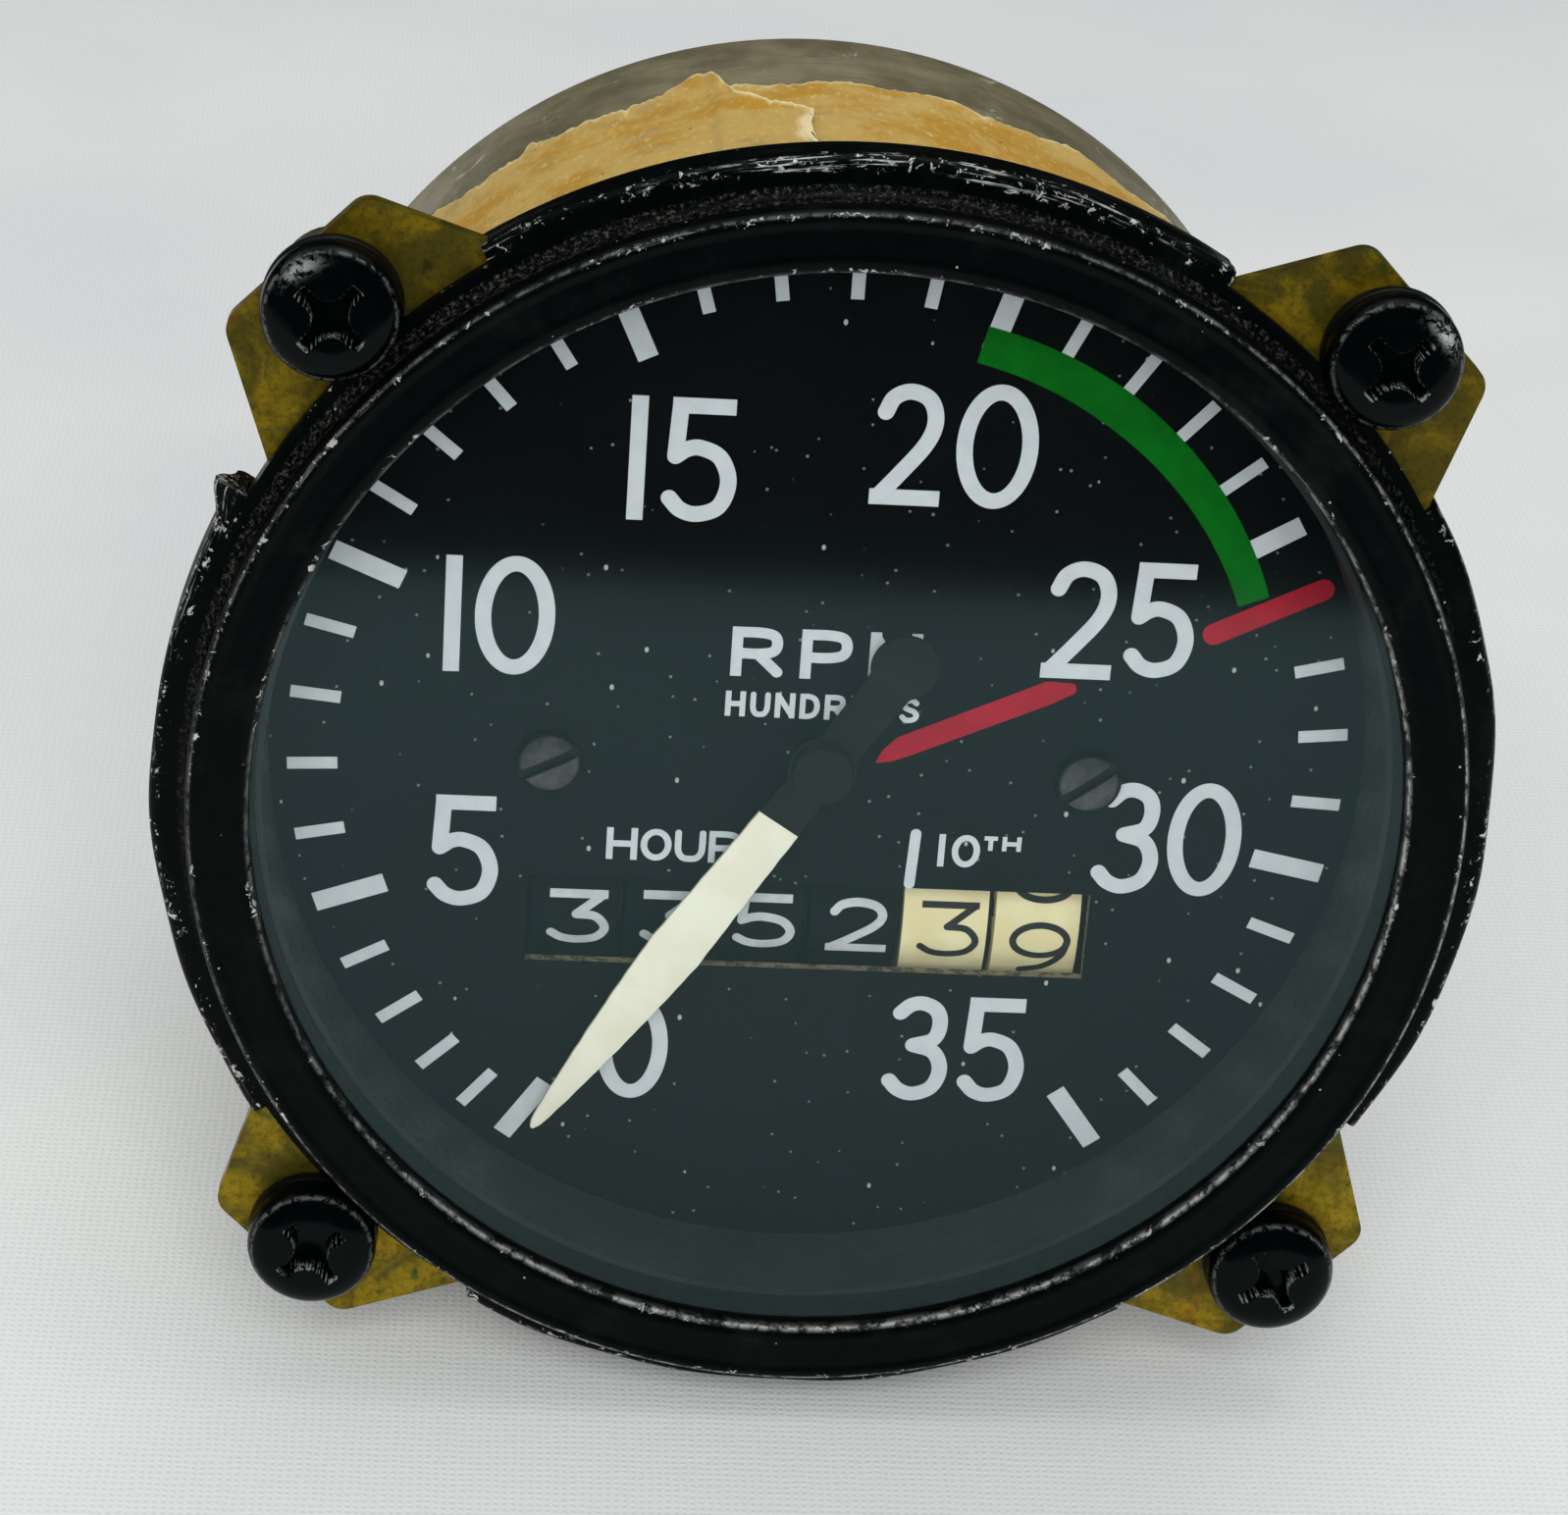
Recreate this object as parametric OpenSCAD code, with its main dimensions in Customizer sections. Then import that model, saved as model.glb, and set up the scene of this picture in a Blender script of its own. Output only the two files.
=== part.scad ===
// Panel-mounted aircraft tachometer with an hour counter.
// The dial faces -Y, +Z is up, and the origin is on the dial axis in the panel plane.
// Each piece is drawn in a working frame (x right, y up, z towards the viewer) and then turned.

/* [Panel fixing] */
// Distance from the bezel's skirt out to the circle of the four fixing screws
bolt_reach = 2.45; // [2.2:0.05:4]
// Distance from a fixing screw's axis to the end of its lug
lug_reach = 3.4; // [3:0.05:5]
// Half width of a lug at its tip
lug_tip_half = 5.7; // [5:0.1:6.5]
// Slope of a lug's sides from its centre line
lug_flare = 27; // [15:1:30]
// Corner radius at the lug tip
lug_corner = 1.5; // [0.5:0.1:3]
// Radius of the screw hole in a lug
lug_hole_r = 2.2; // [2.15:0.05:2.6]
// Thickness of the mounting ring and its lugs
ring_t = 1.2; // [0.8:0.1:2]
// Lap of the mounting ring past the can's flange
ring_lap = 0.2; // [0.1:0.05:0.6]
// Radius of the fixing screw's shank
screw_r = 2.08; // [1.8:0.02:2.1]
// Length of the fixing screw under its head
screw_len = 9.5; // [7:0.5:14]
// Radius of the fixing screw's pan head
screw_head_r = 4.15; // [3.6:0.05:4.4]
// Height of the fixing screw's pan head
screw_head_h = 2.6; // [2:0.1:3.2]
// Outer radius of the washer
washer_r = 4.2; // [3.6:0.05:4.6]
// Thickness of the washer
washer_t = 1.0; // [0.5:0.1:1.4]
// Outer radius of the round press nut behind each lug
nut_r = 3.4; // [3:0.1:3.8]
// Height of the press nut
nut_h = 3.2; // [2:0.1:4.5]

/* [Case can] */
// Outer radius of the can
can_r = 36.8; // [36.5:0.1:42]
// Sheet thickness of the can
can_wall = 0.7; // [0.5:0.05:0.9]
// Depth from the panel plane to the can's rear face
can_depth = 52; // [51.8:0.1:54]
// Outer radius of the can's rear edge
can_corner = 3; // [1.5:0.1:4]
// Width of the can's front flange
flange_w = 4; // [3.6:0.1:5]

/* [Bezel] */
// Width of the step from the skirt in to the raised front ring, which passes through the panel
skirt_step = 2.35; // [2:0.05:2.8]
// Width of the raised front ring, out from the viewing opening
lip_w = 3.9; // [3.3:0.05:4.4]
// Thickness of the front lip over the glass
bezel_lip_t = 1.1; // [0.8:0.1:1.6]
// Sheet thickness of the bezel's side wall and rolled skirt
bezel_wall = 0.9; // [0.7:0.05:0.95]
// Half angle of the notch in the skirt at each lug
notch_half = 14.4; // [14:0.1:16]
// Radius of the rolled edges of the skirt
skirt_roll = 0.7; // [0.4:0.05:0.8]

/* [Glass and dial] */
// Thickness of the front glass
glass_t = 2.3; // [1.5:0.1:3]
// Thickness of the gasket behind the glass
gasket_t = 0.6; // [0.4:0.1:1]
// Depth of the dial face behind the panel plane
dial_recess = 7.2; // [6.4:0.1:7.4]
// Thickness of the dial plate
dial_t = 0.8; // [0.5:0.1:1]
// Wall thickness of the dial spacer
spacer_wall = 0.8; // [0.5:0.1:1.2]
// Height of the counter window in the dial
window_h = 6.2; // [5:0.1:7]
// Distance of each dial screw from the dial axis
dial_screw_x = 17.4; // [16.5:0.1:18]
// Radius of a dial screw's head
dial_screw_head_r = 2.15; // [1.8:0.05:2.4]
// Height of a dial screw's head
dial_screw_head_h = 0.9; // [0.5:0.05:1]
// Radius of a dial screw's shank
dial_screw_r = 1; // [0.7:0.05:1.2]

/* [Pointer] */
// Angle of the resting pointer, clockwise from twelve o'clock
pointer_rest = 213.2; // [205:0.1:216]
// Distance from the dial axis to the pointer's tip
pointer_len = 32; // [28:0.1:34]
// Greatest width of the pointer blade
pointer_w = 3.7; // [2.5:0.1:4.5]
// Thickness of the pointer sheet
pointer_t = 0.35; // [0.2:0.05:0.5]
// Height of the pointer's front face above the dial
pointer_lift = 1.6; // [1.4:0.1:2.4]
// Distance from the dial axis to the centre of the round tail
tail_at = 8.4; // [7:0.1:11]
// Radius of the round tail
tail_r = 2.4; // [1.8:0.1:4]
// Radius of the disc of the pointer at its hub
hub_disc_r = 2.2; // [2.1:0.1:3]
// Radius of the pointer staff
staff_r = 0.8; // [0.6:0.05:0.9]

/* [Hour counter] */
// Spacing of the number drums along their axle
drum_pitch = 6.12; // [5.9:0.02:6.2]
// Outer radius of a number drum
drum_r = 8.8; // [8.7:0.05:8.9]
// Gap between neighbouring drums, which holds a transfer plate
drum_gap = 0.5; // [0.4:0.05:0.7]
// Gap between the dial plate and the drums
window_gap = 0.5; // [0.3:0.1:1]
// Radius of the drum axle
drum_axle_r = 1.4; // [1:0.05:1.6]
// Thickness of a transfer plate
transfer_plate_t = 0.3; // [0.2:0.02:0.32]
// Pitch radius of a drum's ring of twenty inner teeth
ring_gear_r = 7.2; // [7.1:0.05:7.3]
// Depth of the recess in each drum face
drum_recess = 1.6; // [1.4:0.1:2]
// Thickness of the counter's two cheeks
cheek_t = 1.2; // [0.8:0.1:1.6]

/* [Movement frame] */
// Gap between the edge of the front and rear plates and the can
plate_gap = 3.1; // [2:0.1:3.6]
// Thickness of the front and rear plates
plate_t = 1.4; // [1:0.1:1.5]
// Length of the posts between the front plate and the dial
dial_post_h = 2.6; // [2.4:0.1:3]
// Clear distance between the two plates
plate_space = 24; // [23.9:0.1:24.5]
// Radius of a frame pillar
pillar_r = 2; // [1.8:0.1:2.3]
// Radius of a standoff between the rear plate and the can
standoff_r = 2.6; // [2.2:0.1:3]
// Distance of the standoffs from the dial axis
standoff_at = 26; // [25:0.5:27]

/* [Drive] */
// Radius of the drive stem at the rear
stem_r = 11.1; // [10.5:0.1:11.5]
// Length of the drive stem behind the can
stem_len = 17; // [15:0.5:22]
// Radius of the cable ferrule's counterbore in the stem
ferrule_r = 8.2; // [7.5:0.1:8.8]
// Depth of the cable ferrule's counterbore
ferrule_h = 5; // [4:0.5:6]
// Radius of the housing's flange inside the can
housing_flange_r = 16; // [14:0.5:18]
// Thickness of the housing's flange
housing_flange_t = 1.6; // [1.2:0.1:1.8]
// Width across the flats of the stem nut
stem_nut_w = 28; // [26:0.5:32]
// Height of the stem nut
stem_nut_h = 4; // [3:0.5:6]
// Width of the thread relief between the stem nut and the free thread
relief_w = 1.4; // [1:0.1:3]
// Depth of the thread relief
relief_depth = 0.9; // [0.5:0.1:1.4]
// Radius of the drive shaft in its rear bush
drive_r = 3.4; // [3.2:0.1:3.8]
// Radius of the drive shaft's front end
drive_nose_r = 1.25; // [1.1:0.05:1.3]
// Width of the square socket for the cable
socket_w = 3.8; // [3.2:0.1:3.9]
// Depth of the square socket
socket_h = 11; // [8:0.5:13]
// Wall of the rear bush
bush_wall = 2; // [1.5:0.1:2.4]
// Radius of the rotating magnet
magnet_r = 8; // [7:0.1:8.2]
// Length of the rotating magnet
magnet_h = 4.8; // [4:0.1:5]
// Gap between the magnet and the drag cup
cup_gap = 0.5; // [0.3:0.05:0.6]
// Wall of the drag cup
cup_wall = 0.4; // [0.3:0.05:0.5]
// Wall of the soft-iron flux ring
flux_wall = 1.8; // [1.2:0.1:2.4]
// Number of turns of the hairspring
hairspring_turns = 5; // [3:0.5:7]
// Width of the hairspring's strip
hairspring_w = 0.6; // [0.4:0.05:0.8]
// Thickness of the hairspring's strip
hairspring_t = 0.2; // [0.15:0.01:0.3]

/* [Worm train] */
// Axial pitch of the three worms
worm_pitch = 1.6; // [1.56:0.01:1.64]
// Mean radius of a worm
worm_r = 2; // [1.95:0.01:2.1]
// Half height of the worm thread and the wheel teeth
tooth_half = 0.45; // [0.35:0.01:0.48]
// Play between a worm and its wheel
mesh_play = 0.25; // [0.22:0.01:0.32]
// Teeth of the wheel that the drive worm turns
cross_teeth = 20; // [20:1:21]
// Teeth of the wheel on the lay shaft
lay_teeth = 12; // [12:1:13]
// Teeth of the wheel on the counter
counter_teeth = 30; // [29:1:30]
// Thickness of the three worm wheels
wheel_t = 1; // [0.8:0.1:1.4]
// Length of each worm
worm_len = 6.4; // [5:0.2:7]
// Radius of the two small shafts
lay_r = 1; // [0.8:0.05:1.1]

/* [Paper tape] */
// Thickness of the tape on the can
tape_t = 0.25; // [0.15:0.05:0.4]
// Half of the angle that the tape goes round the can
tape_half = 72; // [55:1:85]
// Mean depth of the tape's torn edge behind the panel plane
tape_depth = 38; // [30:0.5:42]

/* [Hidden] */
$fn = 64;

// Radial clearance of a turning shaft in its bearing
run = 0.05;
// Radial clearance of a part that is pressed or screwed in place
seat = 0.02;
// Clearance between nested sheet parts
slip = 0.1;
// Overshoot of cutting shapes past the faces they cut
over = 1;

// Levels along the dial axis, from front to rear
glass_front = gasket_t + glass_t;
bezel_front = glass_front + bezel_lip_t;
flange_back = -(ring_t + can_wall);
dial_back = -dial_recess - dial_t;
front_plate_front = dial_back - dial_post_h;
front_plate_back = front_plate_front - plate_t;
rear_plate_front = front_plate_back - plate_space;
rear_plate_back = rear_plate_front - plate_t;
can_back = -can_depth;
can_floor = can_back + can_wall;
stem_back = can_back - stem_len;

// Radii nested on the can, from its bore out to the lugs
can_bore = can_r - can_wall;
spacer_r = can_bore - slip;
plate_r = can_bore - plate_gap;
can_flange_r = can_r + flange_w;
ring_r = can_flange_r + ring_lap;
skirt_bore = ring_r + slip;
skirt_r = skirt_bore + bezel_wall;
bezel_r = skirt_r - skirt_step;
bezel_lip_r = bezel_r - lip_w;
glass_r = bezel_r - bezel_wall - slip;
bolt_circle_r = skirt_r + bolt_reach;
lug_tip_r = bolt_circle_r + lug_reach;
lug_angles = [45, 135, 225, 315];

// Worm train: centre distance of a worm and a wheel, and the places of the shafts
function wheel_r(teeth) = teeth * worm_pitch / (2 * PI);
function mesh(teeth) = wheel_r(teeth) + worm_r + mesh_play;
drum_count = 6;
drums_w = drum_count * drum_pitch;
cross_y = -mesh(cross_teeth);
lay_y = cross_y + mesh(lay_teeth);
counter_y = lay_y - mesh(counter_teeth);
counter_z = dial_back - window_gap - drum_r;
worm_room = 0.6;
lay_x = drums_w / 2 + worm_r + tooth_half + worm_room;
cross_z = rear_plate_back - wheel_r(cross_teeth) - tooth_half - worm_room;
worm_seat_r = drive_nose_r + seat;

// Counter: cheeks, plates and the transfer pinions
drum_w = drum_pitch - drum_gap;
cheek_room = 1.6;
cheek_worm_gap = 0.4;
left_cheek_x = -drums_w / 2 - cheek_room - cheek_t;
right_cheek_x = lay_x + worm_r + tooth_half + cheek_worm_gap;
ring_teeth = 20;
pinion_teeth = 6;
pinion_r = ring_gear_r * pinion_teeth / ring_teeth;
pinion_play = 0.15;
pinion_at = ring_gear_r - pinion_r - pinion_play;
pinion_half = 0.38;
pinion_waist_r = 1;
pinion_tilt = 35;
rod_r = 0.7;
rod_room = 1.6;
rod_at = drum_r + rod_room;

// Reading of the counter at rest, as the digit that each drum shows, from the left
reading = [3, 3, 5, 2, 3, 8.75];
drum_color = ["#16181a", "#16181a", "#16181a", "#16181a", "#e2d8b4", "#e2d8b4"];

// Indicating movement on the dial axis
magnet_room = 0.6;
magnet_back = rear_plate_front + magnet_room;
magnet_front = magnet_back + magnet_h;
nose_reach = 0.4;
nose_front = magnet_front + nose_reach;
cup_r = magnet_r + cup_gap + cup_wall;
cup_inset = 0.4;
cup_back = magnet_back + cup_inset;
cup_room = 1;
cup_front = nose_front + cup_room;
flux_bore = cup_r + cup_gap;
flux_r = flux_bore + flux_wall;
flux_front = magnet_front;
pivot_r = 0.4;
pivot_len = 1.4;
pointer_front = -dial_recess + pointer_lift;
collet_r = 1.7;
spring_lift = 2;
spring_front = cup_front + spring_lift;
stud_r = 0.7;
stud_inset = 0.2;
stud_at = flux_r - stud_r - stud_inset;
bush_r = drive_r + bush_wall;
staff_bush_r = 2;
shaft_bush_r = 3;
worm_shoulder_gap = 1.2;
nose_start = cross_z - worm_len / 2 - worm_shoulder_gap;

// Brackets of the cross shaft, one on each side of the drive axis
bracket_t = 1.4;
bracket_half = 3;
bracket_reach = 5;
bracket_clear = 1;
left_bracket_x = -bracket_reach - bracket_t;
right_bracket_x = lay_x + worm_len / 2 + bracket_clear;

// Fixings of the frame
pillar_at = [[28.5, 2], [-28.5, 2], [16, 24], [-16, 24]];
standoff_angles = [30, 150, 270];
dial_screw_y = -0.6;
frame_screw_r = 1;
frame_screw_head_r = 1.8;
frame_screw_head_h = 1.1;
frame_screw_len = 5;
case_screw_r = 1.3;
case_screw_head_r = 2.6;
case_screw_head_h = 1.6;
case_screw_len = 6;
spigot_r = 1.5;

// Rear edge of the bezel, crimped over the can's flange
crimp_grip = 0.5;
crimp_r = can_flange_r - crimp_grip;
crimp_t = bezel_wall * 1.3;
crimp_back = flange_back - crimp_t;

module face_viewer() {
    rotate([90, 0, 0]) children();
}

// A straight round bar along the working frame's x axis
module bar_x(r, x0, x1) {
    translate([x0, 0, 0]) rotate([0, 90, 0]) cylinder(r = r, h = x1 - x0);
}

module at_lugs() {
    for (a = lug_angles) rotate([0, 0, a]) translate([bolt_circle_r, 0, 0]) children();
}

module at_standoffs() {
    for (a = standoff_angles) rotate([0, 0, a]) translate([standoff_at, 0, 0]) children();
}

module at_pillars() {
    for (p = pillar_at) translate([p[0], p[1], 0]) children();
}

module at_dial_screws() {
    for (side = [-1, 1]) translate([side * dial_screw_x, dial_screw_y, 0]) children();
}

// Screw with its head's underside at z = 0 and its head towards +z
module slotted_screw(r, len, head_r, head_h, slot_w, slot_turn = 28) {
    slot_floor = head_h / 2;
    difference() {
        union() {
            translate([0, 0, -len]) cylinder(r = r, h = len);
            domed_head(head_r, head_h);
        }
        rotate([0, 0, slot_turn]) translate([-head_r - over, -slot_w / 2, slot_floor])
            cube([2 * (head_r + over), slot_w, head_h]);
    }
}

// Low domed head: a straight rim, an elliptical crown and a small flat on top
module domed_head(head_r, head_h) {
    rim = head_h * 0.45;
    crown = head_h - rim;
    flat_r = head_r * 0.35;
    rotate_extrude()
        polygon(concat([[0, 0], [head_r, 0]],
            [for (a = [0:15:90]) [flat_r + (head_r - flat_r) * cos(a), rim + crown * sin(a)]],
            [[0, head_h]]));
}

function arc(cx, cy, r, from, to, steps) =
    [for (i = [0:steps]) let (a = from + (to - from) * i / steps) [cx + r * cos(a), cy + r * sin(a)]];

// Rim of a wheel with rounded teeth: a wave about the pitch radius, with a gap at the angle given
module toothed_rim(pitch_r, teeth, half, gap_at) {
    steps = teeth * 8;
    polygon([for (i = [0:steps - 1]) let (a = 360 * i / steps, r = pitch_r - half * cos(teeth * (a - gap_at)))
        [r * cos(a), r * sin(a)]]);
}

// Single-start right-hand worm about the z axis, with a thread crest at z = 0 at the angle given
module worm(bore_r, crest_at) {
    turns = worm_len / worm_pitch;
    difference() {
        rotate([0, 0, crest_at - 180 * turns]) translate([0, 0, -worm_len / 2])
            linear_extrude(height = worm_len, twist = -360 * turns, slices = ceil(12 * turns), $fn = 16)
                translate([tooth_half, 0]) circle(r = worm_r);
        translate([0, 0, -worm_len / 2 - over]) cylinder(r = bore_r, h = worm_len + 2 * over);
    }
}

module worm_wheel(teeth, bore_r, gap_at) {
    translate([0, 0, -wheel_t / 2]) difference() {
        linear_extrude(height = wheel_t) toothed_rim(wheel_r(teeth), teeth, tooth_half, gap_at);
        translate([0, 0, -over]) cylinder(r = bore_r, h = wheel_t + 2 * over);
    }
}

module case_can() {
    inner_corner = can_corner - can_wall;
    color("#7d7364") face_viewer() difference() {
        rotate_extrude() polygon(concat(
            [[stem_r + slip, can_back]],
            arc(can_r - can_corner, can_back + can_corner, can_corner, -90, 0, 8),
            [[can_r, flange_back], [can_flange_r, flange_back], [can_flange_r, -ring_t], [can_bore, -ring_t]],
            arc(can_r - can_corner, can_back + can_corner, inner_corner, 0, -90, 8),
            [[stem_r + slip, can_floor]]));
        at_standoffs() translate([0, 0, can_back - over])
            cylinder(r = case_screw_r + slip, h = can_wall + 2 * over);
    }
}

// Flat outline of one lug, pointing along +x and reaching into the ring
module lug_outline() {
    root_x = (can_bore + ring_r) / 2;
    root_half = lug_tip_half + (lug_tip_r - root_x) * tan(lug_flare);
    corner_y = lug_tip_half - lug_corner * (1 - sin(lug_flare)) / cos(lug_flare);
    corner_x = lug_tip_r - lug_corner;
    polygon(concat(
        [[root_x, -root_half]],
        arc(corner_x, -corner_y, lug_corner, lug_flare - 90, 0, 6),
        arc(corner_x, corner_y, lug_corner, 0, 90 - lug_flare, 6),
        [[root_x, root_half]]));
}

module mounting_ring() {
    color("#6a5f2c") face_viewer() translate([0, 0, -ring_t]) difference() {
        union() {
            cylinder(r = ring_r, h = ring_t);
            for (a = lug_angles) rotate([0, 0, a]) linear_extrude(height = ring_t) lug_outline();
        }
        translate([0, 0, -over]) cylinder(r = can_bore, h = ring_t + 2 * over);
        at_lugs() translate([0, 0, -over]) cylinder(r = lug_hole_r, h = ring_t + 2 * over);
    }
}

module mounting_nuts() {
    color("#8a8062") face_viewer() at_lugs() translate([0, 0, -ring_t - nut_h]) difference() {
        cylinder(r = nut_r, h = nut_h);
        translate([0, 0, -over]) cylinder(r = screw_r + seat, h = nut_h + 2 * over);
    }
}

// Pan head with a cross recess of four tapering wings
module mounting_screws() {
    wing_w = 0.95;
    wing_r = screw_head_r * 0.56;
    wing_foot = wing_r * 0.45;
    recess = screw_head_h * 0.62;
    recess_turn = 20;
    color("#1a1b1d") face_viewer() at_lugs() translate([0, 0, washer_t]) difference() {
        union() {
            translate([0, 0, -screw_len]) cylinder(r = screw_r, h = screw_len);
            domed_head(screw_head_r, screw_head_h);
        }
        for (a = [recess_turn, recess_turn + 90]) rotate([0, 0, a]) translate([0, 0, screw_head_h - recess])
            rotate([90, 0, 0]) translate([0, 0, -wing_w / 2]) linear_extrude(height = wing_w)
                polygon([[-wing_foot, 0], [wing_foot, 0], [wing_r, recess + over], [-wing_r, recess + over]]);
    }
}

module screw_washers() {
    color("#1d1e20") face_viewer() at_lugs() difference() {
        cylinder(r = washer_r, h = washer_t);
        translate([0, 0, -over]) cylinder(r = screw_r + slip, h = washer_t + 2 * over);
    }
}

// Section of the bezel: lip, front face, side wall, shoulder, rolled skirt and its crimped rear edge
module bezel_section() {
    lip_round = 0.95;
    lip_edge = 0.4;
    lip_height = bezel_lip_t - lip_edge;
    crown = 0.6;
    shoulder = bezel_wall * 0.95;
    cove = 0.9;
    crimp_slope = 0.2;
    polygon(concat(
        [[bezel_lip_r, glass_front]],
        [for (a = [180:-15:90])
            [bezel_lip_r + lip_round * (1 + cos(a)), bezel_front - lip_height * (1 - sin(a))]],
        arc(bezel_r - crown, bezel_front - crown, crown, 90, 0, 6),
        arc(bezel_r + cove, shoulder + cove, cove, 180, 270, 6),
        arc(skirt_r - skirt_roll, shoulder - skirt_roll, skirt_roll, 90, 0, 6),
        arc(skirt_r - skirt_roll, crimp_back + skirt_roll, skirt_roll, 0, -90, 6),
        [[crimp_r, crimp_back + crimp_slope], [crimp_r, flange_back], [skirt_bore, flange_back],
            [skirt_bore, 0], [bezel_r - bezel_wall, 0], [bezel_r - bezel_wall, glass_front]]));
}

// The skirt is cut away at each lug, and so is the crimp behind it
module bezel() {
    notch_r = skirt_bore - slip;
    notch_back = crimp_back - over;
    relief = 0.25;
    color("#17191b") face_viewer() difference() {
        rotate_extrude($fn = 128) bezel_section();
        for (a = lug_angles) rotate([0, 0, a - notch_half]) {
            rotate_extrude(angle = 2 * notch_half) translate([notch_r, notch_back])
                square([skirt_r, bezel_wall - notch_back]);
            rotate_extrude(angle = 2 * notch_half) translate([can_bore, notch_back])
                square([skirt_r, flange_back + slip - notch_back]);
        }
        at_lugs() cylinder(r = washer_r + relief, h = washer_t + relief);
    }
}

module glass_gasket() {
    gasket_inset = 0.4;
    color("#101112") face_viewer() difference() {
        cylinder(r = glass_r, h = gasket_t);
        translate([0, 0, -over]) cylinder(r = spacer_r - spacer_wall + gasket_inset, h = gasket_t + 2 * over);
    }
}

module front_glass() {
    color([0.85, 0.9, 0.92, 0.25]) face_viewer() translate([0, 0, gasket_t])
        cylinder(r = glass_r, h = glass_t);
}

module dial_spacer() {
    color("#2c3133") face_viewer() translate([0, 0, -dial_recess]) difference() {
        cylinder(r = spacer_r, h = dial_recess);
        translate([0, 0, -over]) cylinder(r = spacer_r - spacer_wall, h = dial_recess + 2 * over);
    }
}

module dial_plate() {
    window_w = drums_w + slip;
    staff_room = 1;
    staff_hole_r = staff_r + staff_room;
    color("#24282a") face_viewer() translate([0, 0, dial_back]) difference() {
        cylinder(r = spacer_r, h = dial_t);
        translate([0, 0, -over]) cylinder(r = staff_hole_r, h = dial_t + 2 * over);
        translate([-window_w / 2, counter_y - window_h / 2, -over])
            cube([window_w, window_h, dial_t + 2 * over]);
        at_dial_screws() translate([0, 0, -over]) cylinder(r = dial_screw_r + slip, h = dial_t + 2 * over);
    }
}

module dial_screws() {
    slot_w = 0.7;
    left_turn = 27;
    right_turn = 37;
    color("#2a2c2d") face_viewer() for (side = [-1, 1])
        translate([side * dial_screw_x, dial_screw_y, -dial_recess])
            slotted_screw(dial_screw_r, dial_t + dial_post_h, dial_screw_head_r, dial_screw_head_h, slot_w,
                side < 0 ? left_turn : right_turn);
}

module dial_posts() {
    color("#b49a5a") face_viewer() at_dial_screws() translate([0, 0, front_plate_front]) difference() {
        cylinder(r = dial_screw_head_r + slip, h = dial_post_h);
        translate([0, 0, -over]) cylinder(r = dial_screw_r + seat, h = dial_post_h + 2 * over);
    }
}

// The plate is open below for the drums and the counter's worm wheel
module front_plate() {
    drum_clear = 0.6;
    cut_room = 1;
    cutout_top = counter_y + sqrt(pow(drum_r, 2) - pow(counter_z - front_plate_back, 2)) + drum_clear;
    cut_left = -drums_w / 2 - cut_room;
    cut_right = lay_x + wheel_t;
    color("#b8a468") face_viewer() translate([0, 0, front_plate_back]) difference() {
        cylinder(r = plate_r, h = plate_t);
        translate([cut_left, -plate_r - over, -over])
            cube([cut_right - cut_left, plate_r + over + cutout_top, plate_t + 2 * over]);
        translate([0, 0, -over]) cylinder(r = staff_bush_r + seat, h = plate_t + 2 * over);
        translate([lay_x, lay_y, -over]) cylinder(r = lay_r + run, h = plate_t + 2 * over);
        at_pillars() translate([0, 0, -over]) cylinder(r = frame_screw_r + slip, h = plate_t + 2 * over);
    }
}

module rear_plate() {
    color("#b8a468") face_viewer() translate([0, 0, rear_plate_back]) difference() {
        cylinder(r = plate_r, h = plate_t);
        translate([0, 0, -over]) cylinder(r = shaft_bush_r + seat, h = plate_t + 2 * over);
        translate([lay_x, lay_y, -over]) cylinder(r = lay_r + run, h = plate_t + 2 * over);
        at_pillars() translate([0, 0, -over]) cylinder(r = frame_screw_r + slip, h = plate_t + 2 * over);
        at_standoffs() translate([0, 0, -over]) cylinder(r = spigot_r + seat, h = plate_t + 2 * over);
    }
}

module frame_pillars() {
    color("#c2ad70") face_viewer() at_pillars() translate([0, 0, rear_plate_front]) difference() {
        cylinder(r = pillar_r, h = plate_space);
        translate([0, 0, -over]) cylinder(r = frame_screw_r + seat, h = plate_space + 2 * over);
    }
}

module frame_screws() {
    slot_w = 0.5;
    color("#8f8a7c") face_viewer() at_pillars() {
        translate([0, 0, front_plate_front])
            slotted_screw(frame_screw_r, frame_screw_len, frame_screw_head_r, frame_screw_head_h, slot_w);
        translate([0, 0, rear_plate_back]) rotate([180, 0, 0])
            slotted_screw(frame_screw_r, frame_screw_len, frame_screw_head_r, frame_screw_head_h, slot_w);
    }
}

module case_standoffs() {
    color("#c2ad70") face_viewer() at_standoffs() difference() {
        union() {
            translate([0, 0, can_floor]) cylinder(r = standoff_r, h = rear_plate_back - can_floor);
            translate([0, 0, rear_plate_back - over]) cylinder(r = spigot_r, h = plate_t + over);
        }
        translate([0, 0, can_floor - over]) cylinder(r = case_screw_r + seat, h = case_screw_len + over);
    }
}

module case_screws() {
    slot_w = 0.8;
    color("#8f8a7c") face_viewer() at_standoffs() translate([0, 0, can_back]) rotate([180, 0, 0])
        slotted_screw(case_screw_r, case_screw_len, case_screw_head_r, case_screw_head_h, slot_w);
}

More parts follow.
